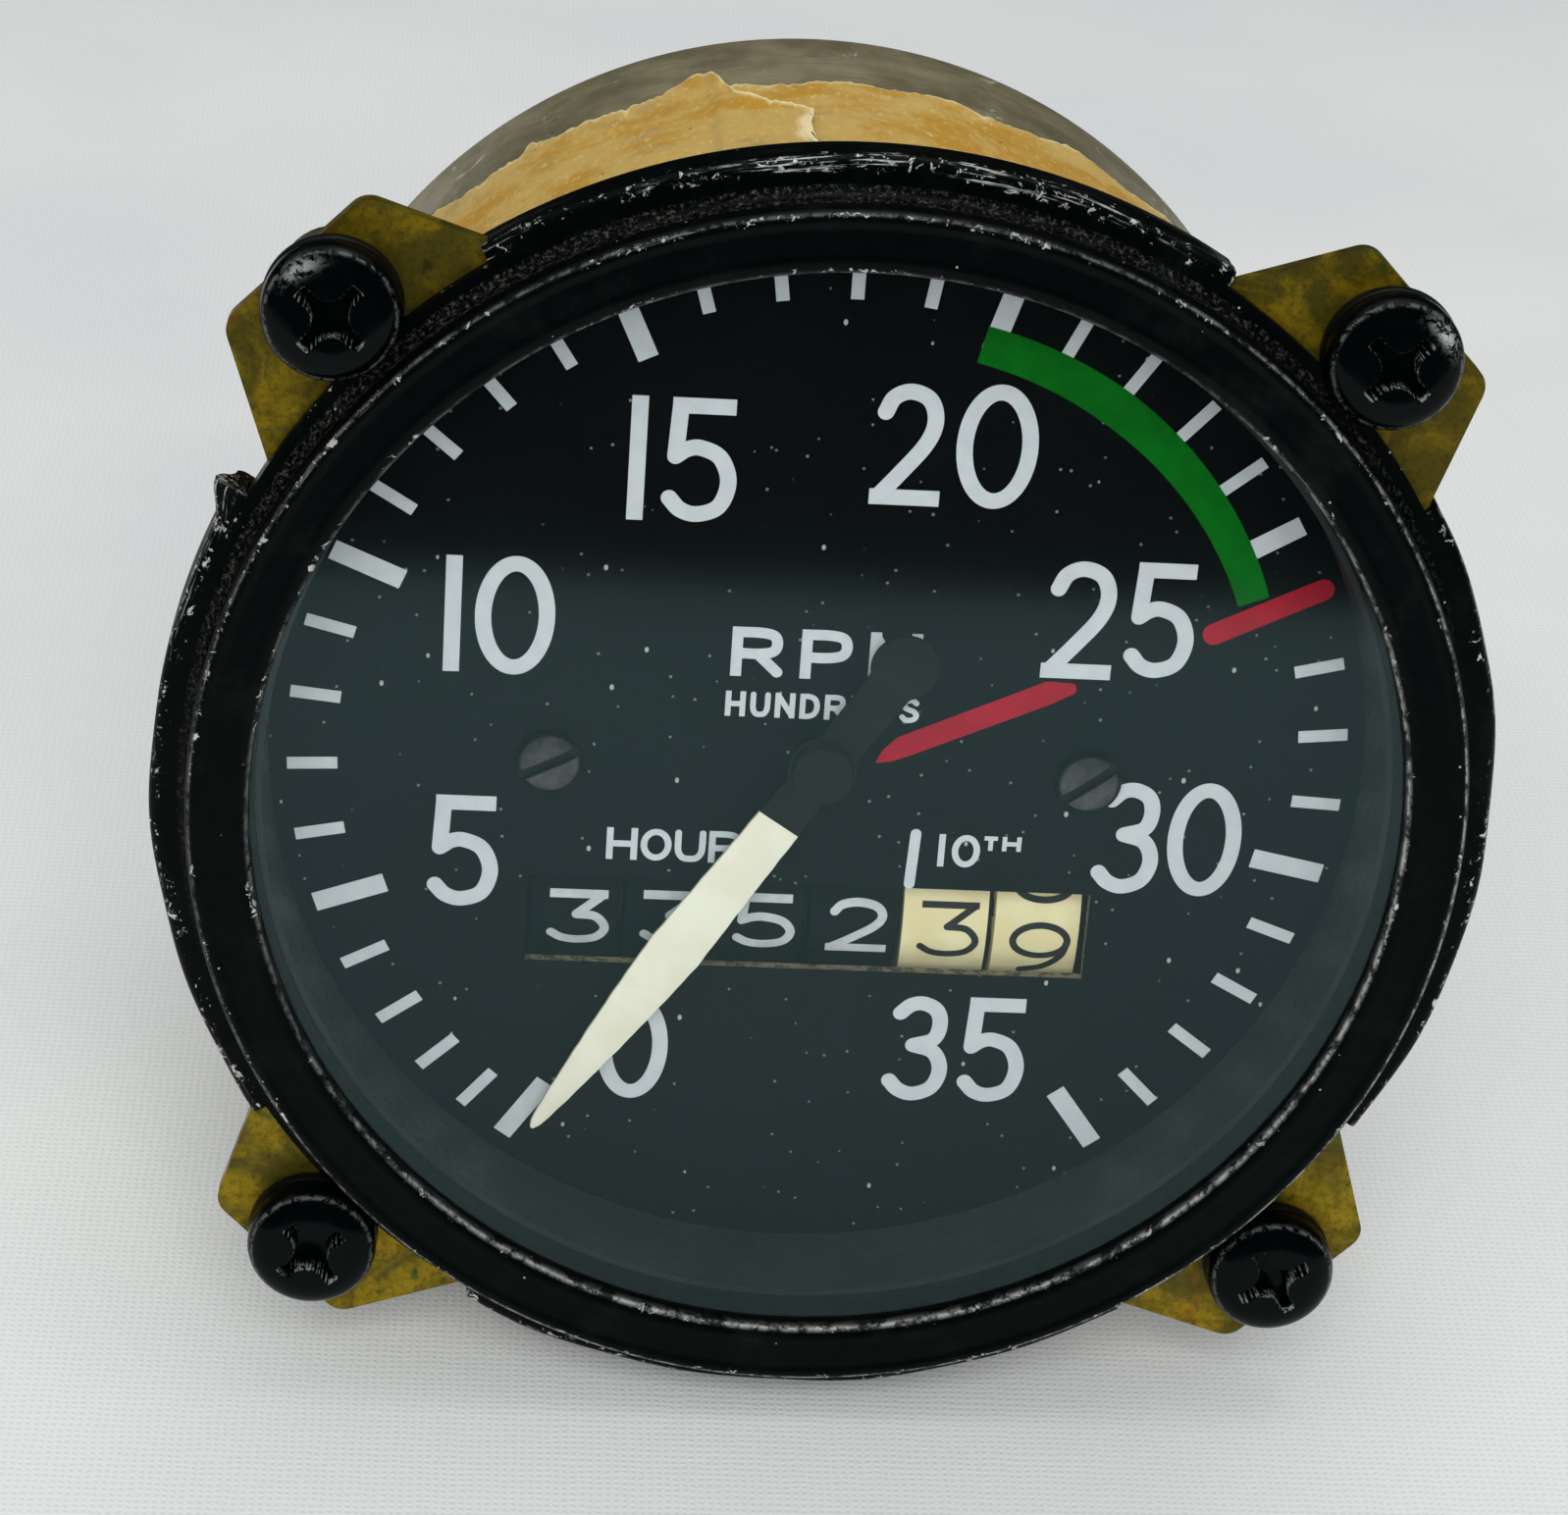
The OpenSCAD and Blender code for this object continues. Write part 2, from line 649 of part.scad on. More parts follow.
// One cheek of the counter: a plate across the x axis with a foot on the front plate
module cheek(x, foot_side) {
    foot = 3;
    foot_above = 5.5;
    foot_below = 4;
    axle_margin = 4;
    rod_margin_y = 2;
    rod_margin_z = 3;
    top = counter_y + foot_above;
    bottom = counter_y - rod_at - rod_margin_y;
    rear = counter_z - axle_margin;
    difference() {
        union() {
            translate([x, 0, 0]) rotate([90, 0, 90]) linear_extrude(height = cheek_t)
                polygon([[top, front_plate_back], [top, counter_z], [counter_y, rear], [bottom, rear],
                    [bottom, counter_z + rod_margin_z], [counter_y - foot_below, front_plate_back]]);
            foot_x = foot_side > 0 ? x : x + cheek_t - foot;
            translate([foot_x, counter_y - foot_below, front_plate_back - cheek_t])
                cube([foot, foot_above + foot_below, cheek_t]);
        }
        translate([0, counter_y, counter_z]) bar_x(drum_axle_r + seat, x - over, x + cheek_t + over);
        translate([0, counter_y - rod_at, counter_z]) bar_x(rod_r + seat, x - over, x + cheek_t + over);
    }
}

module counter_cheeks() {
    color("#a99a6a") face_viewer() {
        cheek(left_cheek_x, -1);
        cheek(right_cheek_x, 1);
    }
}

module drum_axle() {
    color("#9a9a96") face_viewer() translate([0, counter_y, counter_z])
        bar_x(drum_axle_r, left_cheek_x, right_cheek_x + cheek_t);
}

module transfer_rod() {
    color("#9a9a96") face_viewer() translate([0, counter_y - rod_at, counter_z])
        bar_x(rod_r, left_cheek_x, right_cheek_x + cheek_t);
}

// Left edge of a drum, counted from the left
function drum_x(i) = -drums_w / 2 + i * drum_pitch + drum_gap / 2;

// Places its children between two drums, with z along the counter's axis, x up and y towards the viewer
module at_gap(i) {
    translate([-drums_w / 2 + i * drum_pitch, counter_y, counter_z]) rotate([90, 0, 90]) children();
}

// Direction of the transfer pinions from the drum axle: to the rear and a little down
module at_pinion() {
    rotate([0, 0, -90 - pinion_tilt]) translate([pinion_at, 0, 0]) children();
}

// Thin fixed plates between the drums, each hung on the rod below and carrying one pinion by its waist
module transfer_plates() {
    eye_r = rod_r + 0.8;
    color("#87857d") face_viewer() for (i = [1:drum_count - 1]) at_gap(i)
        translate([0, 0, -transfer_plate_t / 2]) difference() {
            union() {
                cylinder(r = ring_gear_r, h = transfer_plate_t);
                translate([-rod_at, -eye_r, 0]) cube([rod_at, 2 * eye_r, transfer_plate_t]);
                translate([-rod_at, 0, 0]) cylinder(r = eye_r, h = transfer_plate_t);
            }
            translate([0, 0, -over]) cylinder(r = drum_axle_r + seat, h = 2 * over + transfer_plate_t);
            translate([-rod_at, 0, -over]) cylinder(r = rod_r + seat, h = 2 * over + transfer_plate_t);
            at_pinion() translate([0, 0, -over])
                cylinder(r = pinion_waist_r + run, h = 2 * over + transfer_plate_t);
        }
}

// Six-tooth pinion with a waist that runs in its transfer plate
module transfer_pinion(i) {
    end_play = 0.3;
    lap = 0.1;
    waist = drum_gap / 2;
    reach = waist + drum_recess - end_play;
    color("#a8803c") face_viewer() at_gap(i) at_pinion() {
        for (side = [-1, 1]) translate([0, 0, side > 0 ? waist : -reach])
            linear_extrude(height = reach - waist)
                toothed_rim(pinion_r, pinion_teeth, pinion_half, 180 / pinion_teeth);
        translate([0, 0, -waist - lap]) cylinder(r = pinion_waist_r, h = 2 * (waist + lap));
    }
}

// Number drum: ring teeth inside its right face, two carry teeth inside its left face
module drum(i) {
    rim_clear = 0.2;
    recess_r = ring_gear_r + pinion_half + rim_clear;
    digit_angle = 360 / 10;
    half_tooth = 180 / ring_teeth;
    carry_r = ring_gear_r - pinion_half;
    carry_w = 0.8;
    carry_at = 60;
    color(drum_color[i]) face_viewer() translate([drum_x(i), counter_y, counter_z]) rotate([90, 0, 90])
        difference() {
            cylinder(r = drum_r, h = drum_w);
            translate([0, 0, -over]) cylinder(r = drum_axle_r + run, h = drum_w + 2 * over);
            if (i < drum_count - 1) translate([0, 0, drum_w - drum_recess])
                linear_extrude(height = drum_recess + over)
                    toothed_rim(ring_gear_r, ring_teeth, pinion_half, half_tooth - 90 - pinion_tilt);
            if (i > 0) translate([0, 0, -over]) difference() {
                cylinder(r = recess_r, h = drum_recess + over);
                rotate([0, 0, carry_at + digit_angle * (reading[i] - floor(reading[i]))])
                    for (side = [-1, 1]) rotate([0, 0, side * half_tooth])
                        translate([carry_r, -carry_w / 2, 0]) cube([recess_r, carry_w, drum_recess + over]);
            }
        }
}

module drum_thousands() { drum(0); }
module drum_hundreds() { drum(1); }
module drum_tens() { drum(2); }
module drum_units() { drum(3); }
module drum_tenths() { drum(4); }
module drum_hundredths() { drum(5); }

// Wheel on the last drum, with a boss that reaches the drum's face
module counter_wheel() {
    drum_face = drum_x(drum_count - 1) + drum_w;
    boss_wall = 1.4;
    boss_r = drum_axle_r + boss_wall;
    color("#b08a3e") face_viewer() translate([0, counter_y, counter_z]) {
        translate([lay_x, 0, 0]) rotate([90, 0, 90]) worm_wheel(counter_teeth, drum_axle_r + run, 0);
        difference() {
            bar_x(boss_r, drum_face, lay_x - wheel_t / 2);
            bar_x(drum_axle_r + run, drum_face - over, lay_x + over);
        }
    }
}

// Flanged stem with a thread relief behind the nut
module drive_housing() {
    color("#b7b2a4") face_viewer() difference() {
        union() {
            translate([0, 0, can_floor]) cylinder(r = housing_flange_r, h = housing_flange_t);
            translate([0, 0, stem_back]) cylinder(r = stem_r, h = can_floor - stem_back + housing_flange_t);
        }
        translate([0, 0, stem_back - over])
            cylinder(r = bush_r + seat, h = can_floor - stem_back + housing_flange_t + 2 * over);
        translate([0, 0, stem_back - over]) cylinder(r = ferrule_r, h = ferrule_h + over);
        rotate_extrude() translate([stem_r - relief_depth, can_back - stem_nut_h - relief_w])
            square([relief_depth + over, relief_w]);
    }
}

module stem_nut() {
    color("#a39d8e") face_viewer() translate([0, 0, can_back - stem_nut_h]) difference() {
        cylinder(r = stem_nut_w / 2 / cos(30), h = stem_nut_h, $fn = 6);
        translate([0, 0, -over]) cylinder(r = stem_r + seat, h = stem_nut_h + 2 * over);
    }
}

module drive_bush() {
    bush_back = stem_back + ferrule_h;
    bush_front = can_floor + housing_flange_t;
    color("#9c6f3a") face_viewer() translate([0, 0, bush_back]) difference() {
        cylinder(r = bush_r, h = bush_front - bush_back);
        translate([0, 0, -over]) cylinder(r = drive_r + run, h = bush_front - bush_back + 2 * over);
    }
}

module shaft_bush() {
    color("#9c6f3a") face_viewer() translate([0, 0, rear_plate_back]) difference() {
        cylinder(r = shaft_bush_r, h = plate_t);
        translate([0, 0, -over]) cylinder(r = drive_nose_r + run, h = plate_t + 2 * over);
    }
}

module staff_bush() {
    color("#9c6f3a") face_viewer() translate([0, 0, front_plate_back]) difference() {
        cylinder(r = staff_bush_r, h = plate_t);
        translate([0, 0, -over]) cylinder(r = staff_r + run, h = plate_t + 2 * over);
    }
}

module flux_ring() {
    color("#6e7072") face_viewer() translate([0, 0, rear_plate_front]) difference() {
        cylinder(r = flux_r, h = flux_front - rear_plate_front);
        translate([0, 0, -over]) cylinder(r = flux_bore, h = flux_front - rear_plate_front + 2 * over);
    }
}

// Flat spiral from just outside the collet to the stud, as a strip between two spiral edges
module hairspring() {
    collet_gap = 0.15;
    turn_steps = 24;
    start = collet_r + collet_gap + hairspring_t / 2;
    end = stud_at - stud_r - hairspring_t / 2 - seat;
    steps = ceil(hairspring_turns * turn_steps);
    function edge(i, side) = let (r = start + (end - start) * i / steps + side * hairspring_t / 2,
        a = 90 + 360 * hairspring_turns * (i / steps - 1)) [r * cos(a), r * sin(a)];
    color("#8b9096") face_viewer() translate([0, 0, spring_front - hairspring_w])
        linear_extrude(height = hairspring_w)
            polygon(concat([for (i = [0:steps]) edge(i, 1)], [for (i = [steps:-1:0]) edge(i, -1)]));
}

module hairspring_stud() {
    stud_over = 0.3;
    color("#9a9a96") face_viewer() translate([0, stud_at, flux_front])
        cylinder(r = stud_r, h = spring_front - flux_front + stud_over);
}

// Two posts behind the rear plate that carry the cross shaft
module cross_brackets() {
    color("#a99a6a") face_viewer() for (x = [left_bracket_x, right_bracket_x]) difference() {
        translate([x, cross_y - bracket_half, cross_z - bracket_half])
            cube([bracket_t, 2 * bracket_half, rear_plate_back - cross_z + bracket_half]);
        translate([0, cross_y, cross_z]) bar_x(lay_r + run, x - over, x + bracket_t + over);
    }
}

// Band on the top of the can with a torn rear edge, the sum of a broad and a fine wave across its width
module paper_tape() {
    tape_gap = 0.6;
    tape_front = crimp_back - tape_gap;
    broad_tear = 1.6;
    broad_rate = 9;
    broad_phase = 40;
    fine_tear = 1.1;
    fine_rate = 17;
    tear_steps = 24;
    side = can_r + over;
    rear = tape_depth + broad_tear + fine_tear + over;
    torn_edge = [for (i = [0:tear_steps]) let (x = can_r * (2 * i / tear_steps - 1))
        [x, -tape_depth - broad_tear * sin(x * broad_rate + broad_phase) - fine_tear * sin(x * fine_rate)]];
    color("#c49a52") face_viewer() intersection() {
        rotate([0, 0, 90 - tape_half]) rotate_extrude(angle = 2 * tape_half)
            translate([can_r + seat, -rear]) square([tape_t, rear + tape_front]);
        rotate([90, 0, 0]) translate([0, 0, -side]) linear_extrude(height = side)
            polygon(concat([[-side, 0], [-side, -tape_depth]], torn_edge, [[side, -tape_depth], [side, 0]]));
    }
}

// Pointer sheet: blade, hub disc and round counterweight tail, drawn pointing up
module pointer_outline() {
    tip_r = 0.4;
    blade_from = 4.6;
    widest_at = pointer_len * 0.5;
    neck_half = 1.3;
    tail_half = tail_r * 0.92;
    blade_half = 1.43;
    tip_lean = 5;
    difference() {
        union() {
            circle(r = hub_disc_r);
            translate([0, -tail_at]) circle(r = tail_r);
            polygon([[-neck_half, 0], [-tail_half, -tail_at], [tail_half, -tail_at], [neck_half, 0]]);
            polygon(concat(
                [[-neck_half, 0], [neck_half, 0], [blade_half, blade_from], [pointer_w / 2, widest_at]],
                arc(0, pointer_len - tip_r, tip_r, tip_lean, 180 - tip_lean, 8),
                [[-pointer_w / 2, widest_at], [-blade_half, blade_from]]));
        }
        circle(r = staff_r + seat);
    }
}

module pointer() {
    color("#e6e4d2") face_viewer() translate([0, 0, pointer_front - pointer_t]) rotate([0, 0, -pointer_rest])
        linear_extrude(height = pointer_t) pointer_outline();
}

module pointer_hub() {
    hub_h = 0.7;
    hub_inset = 0.6;
    color("#1c1e1f") face_viewer() translate([0, 0, pointer_front - pointer_t - hub_h]) difference() {
        cylinder(r = hub_disc_r - hub_inset, h = hub_h);
        translate([0, 0, -over]) cylinder(r = staff_r + seat, h = hub_h + 2 * over);
    }
}

module pointer_staff() {
    end_shake = 0.2;
    pivot_back = nose_front - pivot_len + end_shake;
    body_back = nose_front + end_shake;
    color("#a4a6a8") face_viewer() {
        translate([0, 0, body_back]) cylinder(r = staff_r, h = pointer_front - body_back);
        translate([0, 0, pivot_back]) cylinder(r = pivot_r, h = body_back - pivot_back + pivot_r);
    }
}

module hairspring_collet() {
    collet_over = 0.4;
    collet_h = hairspring_w + 2 * collet_over;
    collet_back = spring_front - hairspring_w - collet_over;
    color("#b08a3e") face_viewer() translate([0, 0, collet_back]) difference() {
        cylinder(r = collet_r, h = collet_h);
        translate([0, 0, -over]) cylinder(r = staff_r + seat, h = collet_h + 2 * over);
    }
}

module drag_cup() {
    face_t = 0.6;
    color("#c3c6c8") face_viewer() difference() {
        translate([0, 0, cup_back]) cylinder(r = cup_r, h = cup_front - cup_back);
        translate([0, 0, cup_back - over])
            cylinder(r = cup_r - cup_wall, h = cup_front - cup_back - face_t + over);
        translate([0, 0, cup_back]) cylinder(r = staff_r + seat, h = cup_front - cup_back + over);
    }
}

module drive_shaft() {
    shaft_inset = 0.5;
    shaft_back = stem_back + ferrule_h + shaft_inset;
    color("#8d9093") face_viewer() difference() {
        union() {
            translate([0, 0, shaft_back]) cylinder(r = drive_r, h = nose_start - shaft_back);
            translate([0, 0, nose_start - over])
                cylinder(r = drive_nose_r, h = nose_front - nose_start + over);
        }
        translate([-socket_w / 2, -socket_w / 2, shaft_back - over])
            cube([socket_w, socket_w, socket_h + over]);
        translate([0, 0, nose_front - pivot_len]) cylinder(r = pivot_r + run, h = pivot_len + over);
    }
}

module drive_worm() {
    color("#7b7f83") face_viewer() translate([0, 0, cross_z]) worm(worm_seat_r, -90);
}

// Round magnet with a flat on each side between its two poles
module drive_magnet() {
    flat = magnet_r * 0.82;
    color("#55585b") face_viewer() translate([0, 0, magnet_back]) difference() {
        intersection() {
            cylinder(r = magnet_r, h = magnet_h);
            translate([-magnet_r, -flat, 0]) cube([2 * magnet_r, 2 * flat, magnet_h]);
        }
        translate([0, 0, -over]) cylinder(r = worm_seat_r, h = magnet_h + 2 * over);
    }
}

module cross_shaft() {
    color("#8d9093") face_viewer() translate([0, cross_y, cross_z])
        bar_x(lay_r, left_bracket_x, right_bracket_x + bracket_t);
}

module cross_wheel() {
    color("#b08a3e") face_viewer() translate([0, cross_y, cross_z]) rotate([90, 0, 90])
        worm_wheel(cross_teeth, lay_r + seat, 0);
}

module cross_worm() {
    color("#7b7f83") face_viewer() translate([lay_x, cross_y, cross_z]) rotate([90, 0, 90])
        worm(lay_r + seat, 0);
}

module lay_shaft() {
    lay_tail = 0.6;
    lay_back = cross_z - wheel_t - lay_tail;
    color("#8d9093") face_viewer() translate([lay_x, lay_y, lay_back])
        cylinder(r = lay_r, h = front_plate_front - lay_back);
}

module lay_wheel() {
    color("#b08a3e") face_viewer() translate([lay_x, lay_y, cross_z])
        worm_wheel(lay_teeth, lay_r + seat, -90);
}

module lay_worm() {
    color("#7b7f83") face_viewer() translate([lay_x, lay_y, counter_z]) worm(lay_r + seat, -90);
}

case_can();
mounting_ring();
mounting_nuts();
mounting_screws();
screw_washers();
bezel();
glass_gasket();
front_glass();
dial_spacer();
dial_plate();
dial_screws();
dial_posts();
front_plate();
frame_pillars();
rear_plate();
frame_screws();
case_standoffs();
case_screws();
counter_cheeks();
drum_axle();
transfer_plates();
transfer_rod();
drive_housing();
stem_nut();
drive_bush();
shaft_bush();
flux_ring();
staff_bush();
hairspring();
hairspring_stud();
cross_brackets();
paper_tape();
pointer();
pointer_hub();
pointer_staff();
hairspring_collet();
drag_cup();
drive_shaft();
drive_worm();
drive_magnet();
cross_shaft();
cross_wheel();
cross_worm();
lay_shaft();
lay_wheel();
lay_worm();
counter_wheel();
drum_thousands();
drum_hundreds();
drum_tens();
drum_units();
drum_tenths();
drum_hundredths();
transfer_pinion(1);  // transfer_pinion_1
transfer_pinion(2);  // transfer_pinion_2
transfer_pinion(3);  // transfer_pinion_3
transfer_pinion(4);  // transfer_pinion_4
transfer_pinion(5);  // transfer_pinion_5
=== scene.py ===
import bmesh
import bpy
import math
import numpy as np
from mathutils import Matrix, Vector


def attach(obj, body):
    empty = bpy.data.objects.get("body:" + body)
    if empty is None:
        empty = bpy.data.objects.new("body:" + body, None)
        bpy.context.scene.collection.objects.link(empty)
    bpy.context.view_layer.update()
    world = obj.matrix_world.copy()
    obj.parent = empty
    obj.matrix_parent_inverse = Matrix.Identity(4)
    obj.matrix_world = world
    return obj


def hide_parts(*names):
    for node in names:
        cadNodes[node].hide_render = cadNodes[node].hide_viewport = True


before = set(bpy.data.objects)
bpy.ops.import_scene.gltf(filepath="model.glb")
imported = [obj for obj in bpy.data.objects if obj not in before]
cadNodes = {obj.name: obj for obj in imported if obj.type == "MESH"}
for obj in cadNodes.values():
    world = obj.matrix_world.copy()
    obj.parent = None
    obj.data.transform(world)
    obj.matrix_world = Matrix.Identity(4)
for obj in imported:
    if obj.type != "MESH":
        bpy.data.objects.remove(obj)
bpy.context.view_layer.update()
mm = 0.001

# Stage: camera at the photograph's angle, cloth floor, soft light
stageLook = {
    "cameraAt": (-0.02158, -0.21879, 0.10028),
    "cameraRight": (0.99623, -0.05483, 0.06729),
    "cameraUp": (-0.03919, 0.40756, 0.91234),
    "cameraBack": (-0.07745, -0.91153, 0.40388),
    "lens": 88.68,
    "sensorWidth": 36,
    "floorFront": (2.5, -42.05),      # depth and height of the skirt's lowest point, mm
    "floorRear": (49.0, -36.85),      # the can's lower rear edge
    "floorHalf": 1400,
    "cardDepth": -212,                # depth of the front dark card, mm
    "cardHalf": 560,
    "cardHeight": 620,
}

scene = bpy.context.scene
scene.view_settings.view_transform = "Standard"
scene.view_settings.look = "None"

cameraData = bpy.data.cameras.new("photoCamera")
cameraData.lens = stageLook["lens"]
cameraData.sensor_width = stageLook["sensorWidth"]
cameraData.sensor_fit = "HORIZONTAL"
cameraData.clip_start = 0.005
camera = bpy.data.objects.new("photoCamera", cameraData)
axes = [stageLook[key] for key in ("cameraRight", "cameraUp", "cameraBack")]
turn = Matrix(axes).transposed().to_4x4()
camera.matrix_world = Matrix.Translation(stageLook["cameraAt"]) @ turn
scene.collection.objects.link(camera)
scene.camera = camera


# Grid helpers: a piece is a list of shells, and a shell is its points in mm and blocks of faces
def gridFaces(rows, cols, wrapRows=False, wrapCols=False):
    # quads between neighbouring rows and columns of a grid that is counted row by row
    i, j = np.meshgrid(np.arange(rows if wrapRows else rows - 1),
                       np.arange(cols if wrapCols else cols - 1), indexing="ij")
    nextI = (i + 1) % rows
    nextJ = (j + 1) % cols
    quads = np.stack([i * cols + j, nextI * cols + j, nextI * cols + nextJ, i * cols + nextJ], axis=-1)
    return quads.reshape(-1, 4)


def tubeShell(points, closed):
    # points: rows of closed sections; an open tube gets a flat face at each end
    rows, cols = points.shape[:2]
    faces = [gridFaces(rows, cols, wrapRows=closed, wrapCols=True)]
    if not closed:
        faces.append(np.arange(cols)[None])
        faces.append(((rows - 1) * cols + np.arange(cols))[None])
    return points.reshape(-1, 3), faces


def addPiece(name, shells, finish, body, replaced=(), sharpAngle=35, attributes=None):
    # one mesh of all shells; edges that bend by more than the sharp angle, in degrees, stay sharp
    points = np.concatenate([shell[0] for shell in shells])
    starts = np.cumsum([0] + [len(shell[0]) for shell in shells[:-1]])
    blocks = [block + start for shell, start in zip(shells, starts) for block in shell[1]]
    corners = np.concatenate([block.ravel() for block in blocks])
    sizes = np.concatenate([np.full(len(block), block.shape[1]) for block in blocks])
    mesh = bpy.data.meshes.new(name)
    mesh.vertices.add(len(points))
    mesh.vertices.foreach_set("co", (points * mm).ravel())
    mesh.loops.add(len(corners))
    mesh.loops.foreach_set("vertex_index", corners)
    mesh.polygons.add(len(sizes))
    mesh.polygons.foreach_set("loop_start", np.cumsum(sizes) - sizes)
    mesh.update(calc_edges=True)
    mesh.validate()
    skin = bmesh.new()
    skin.from_mesh(mesh)
    bmesh.ops.recalc_face_normals(skin, faces=skin.faces)
    skin.to_mesh(mesh)
    skin.free()
    mesh.polygons.foreach_set("use_smooth", np.ones(len(mesh.polygons), dtype=bool))
    mesh.set_sharp_from_angle(angle=math.radians(sharpAngle))
    for key, values in (attributes or {}).items():
        layer = mesh.attributes.new(key, "FLOAT", "POINT")
        layer.data.foreach_set("value", np.asarray(values, dtype=np.float32).ravel())
    piece = bpy.data.objects.new(name, mesh)
    scene.collection.objects.link(piece)
    mesh.materials.append(finishes[finish])
    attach(piece, body)
    if replaced:
        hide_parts(*replaced)


def arcPoints(centre, radius, start, end, steps):
    # points of an arc, angles in degrees from the radius axis towards the front
    angle = np.radians(np.linspace(start, end, steps + 1))
    return np.stack([centre[0] + radius * np.cos(angle), centre[1] + radius * np.sin(angle)], axis=-1)


def turnAngles(segments):
    # even angles round a full turn
    return np.radians(360 * (np.arange(segments) / segments))


def turned(profile, angles, centre=(0, 0)):
    # profile of (radius, height to the front) turned clockwise from twelve about the dial axis:
    # x = radius times sine, depth = minus height, z = radius times cosine
    radius, height = np.broadcast_to(profile, (len(angles),) + profile.shape[-2:]).transpose(2, 0, 1)
    sine = np.sin(angles)[:, None]
    cosine = np.cos(angles)[:, None]
    return np.stack([centre[0] + radius * sine, -height, centre[1] + radius * cosine], axis=-1)


def cappedShell(points):
    # rows go round the axis; the first and last columns are closed with a flat face each
    rows, cols = points.shape[:2]
    faces = [gridFaces(rows, cols, wrapRows=True)]
    faces += [(np.arange(rows) * cols)[None], (np.arange(rows) * cols + cols - 1)[None]]
    return points.reshape(-1, 3), faces


def spunShell(profile, segments):
    # solid turned from an open profile, closed at both ends
    return cappedShell(turned(profile, turnAngles(segments)))


def clockPoint(radius, angle):
    # place on the dial of a clock angle in degrees
    return radius * np.sin(np.radians(angle)), radius * np.cos(np.radians(angle))


def smoothStep(low, high, value):
    # zero up to low, one from high, and an even rise between
    share = np.clip((value - low) / (high - low), 0, 1)
    return share * share * (3 - 2 * share)


def bump(value, centre, width):
    # bell curve: one at the centre, about a third at the width
    return np.exp(-((value - centre) / width) ** 2)


# Material helpers: every pattern reads Object coordinates, and sizes are given in mm
def tone(red, green, blue):
    channels = np.array([red, green, blue]) / 255
    linear = np.where(channels <= 0.04045, channels / 12.92, ((channels + 0.055) / 1.055) ** 2.4)
    return (*linear.tolist(), 1)


def bareMaterial(name):
    material = bpy.data.materials.new(name)
    material.use_nodes = True
    tree = material.node_tree
    tree.nodes.clear()
    return material, tree, tree.nodes.new("ShaderNodeOutputMaterial")


def newFinish(name):
    material, tree, output = bareMaterial(name)
    shader = tree.nodes.new("ShaderNodeBsdfPrincipled")
    tree.links.new(shader.outputs[0], output.inputs[0])
    return material, tree, shader


def feed(tree, socket, value):
    # an output is linked, and a plain value is set on the socket itself
    if isinstance(value, bpy.types.NodeSocket):
        tree.links.new(value, socket)
    else:
        socket.default_value = value


def setInputs(node, values):
    for key, value in values.items():
        node.inputs[key].default_value = value


def dress(tree, shader, **values):
    sockets = {"color": "Base Color", "roughness": "Roughness", "metallic": "Metallic",
               "specular": "Specular IOR Level"}
    for key, value in values.items():
        feed(tree, shader.inputs[sockets[key]], value)


def coords(tree, stretch=(1, 1, 1)):
    source = tree.nodes.new("ShaderNodeTexCoord")
    mapping = tree.nodes.new("ShaderNodeMapping")
    mapping.inputs["Scale"].default_value = stretch
    tree.links.new(source.outputs["Object"], mapping.inputs["Vector"])
    return mapping.outputs[0]


def noise(tree, size, detail=3, rough=0.5, stretch=(1, 1, 1), distortion=0, place=None):
    node = tree.nodes.new("ShaderNodeTexNoise")
    tree.links.new(place or coords(tree, stretch), node.inputs["Vector"])
    setInputs(node, {"Scale": 1 / (size * mm), "Detail": detail, "Roughness": rough,
                     "Distortion": distortion})
    return node.outputs[0]


def specks(tree, spacing, radius, stretch=(1, 1, 1)):
    # small dots: one where the distance to the nearest scattered point is under the radius
    node = tree.nodes.new("ShaderNodeTexVoronoi")
    tree.links.new(coords(tree, stretch), node.inputs["Vector"])
    node.inputs["Scale"].default_value = 1 / (spacing * mm)
    return spread(tree, node.outputs["Distance"], radius / spacing, 0.7 * radius / spacing)


def spread(tree, value, low, high, toLow=0.0, toHigh=1.0):
    # even rise from one value at low to the other at high, which may lie below low
    node = tree.nodes.new("ShaderNodeMapRange")
    node.interpolation_type = "SMOOTHSTEP"
    feed(tree, node.inputs["Value"], value)
    if low > high:
        low, high, toLow, toHigh = high, low, toHigh, toLow
    setInputs(node, {"From Min": low, "From Max": high, "To Min": toLow, "To Max": toHigh})
    return node.outputs[0]


def calc(tree, operation, first, second):
    node = tree.nodes.new("ShaderNodeMath")
    node.operation = operation
    feed(tree, node.inputs[0], first)
    feed(tree, node.inputs[1], second)
    return node.outputs[0]


def mixTone(tree, share, first, second):
    node = tree.nodes.new("ShaderNodeMix")
    node.data_type = "RGBA"
    feed(tree, node.inputs[0], share)
    feed(tree, node.inputs[6], first)
    feed(tree, node.inputs[7], second)
    return node.outputs[2]


def attribute(tree, name):
    node = tree.nodes.new("ShaderNodeAttribute")
    node.attribute_name = name
    return node.outputs["Fac"]


def relief(tree, shader, height, depth, strength=1.0):
    node = tree.nodes.new("ShaderNodeBump")
    setInputs(node, {"Distance": depth * mm, "Strength": strength})
    tree.links.new(height, node.inputs["Height"])
    tree.links.new(node.outputs[0], shader.inputs["Normal"])


def splitPlace(tree, stretch=(1, 1, 1)):
    node = tree.nodes.new("ShaderNodeSeparateXYZ")
    tree.links.new(coords(tree, stretch), node.inputs[0])
    return node.outputs


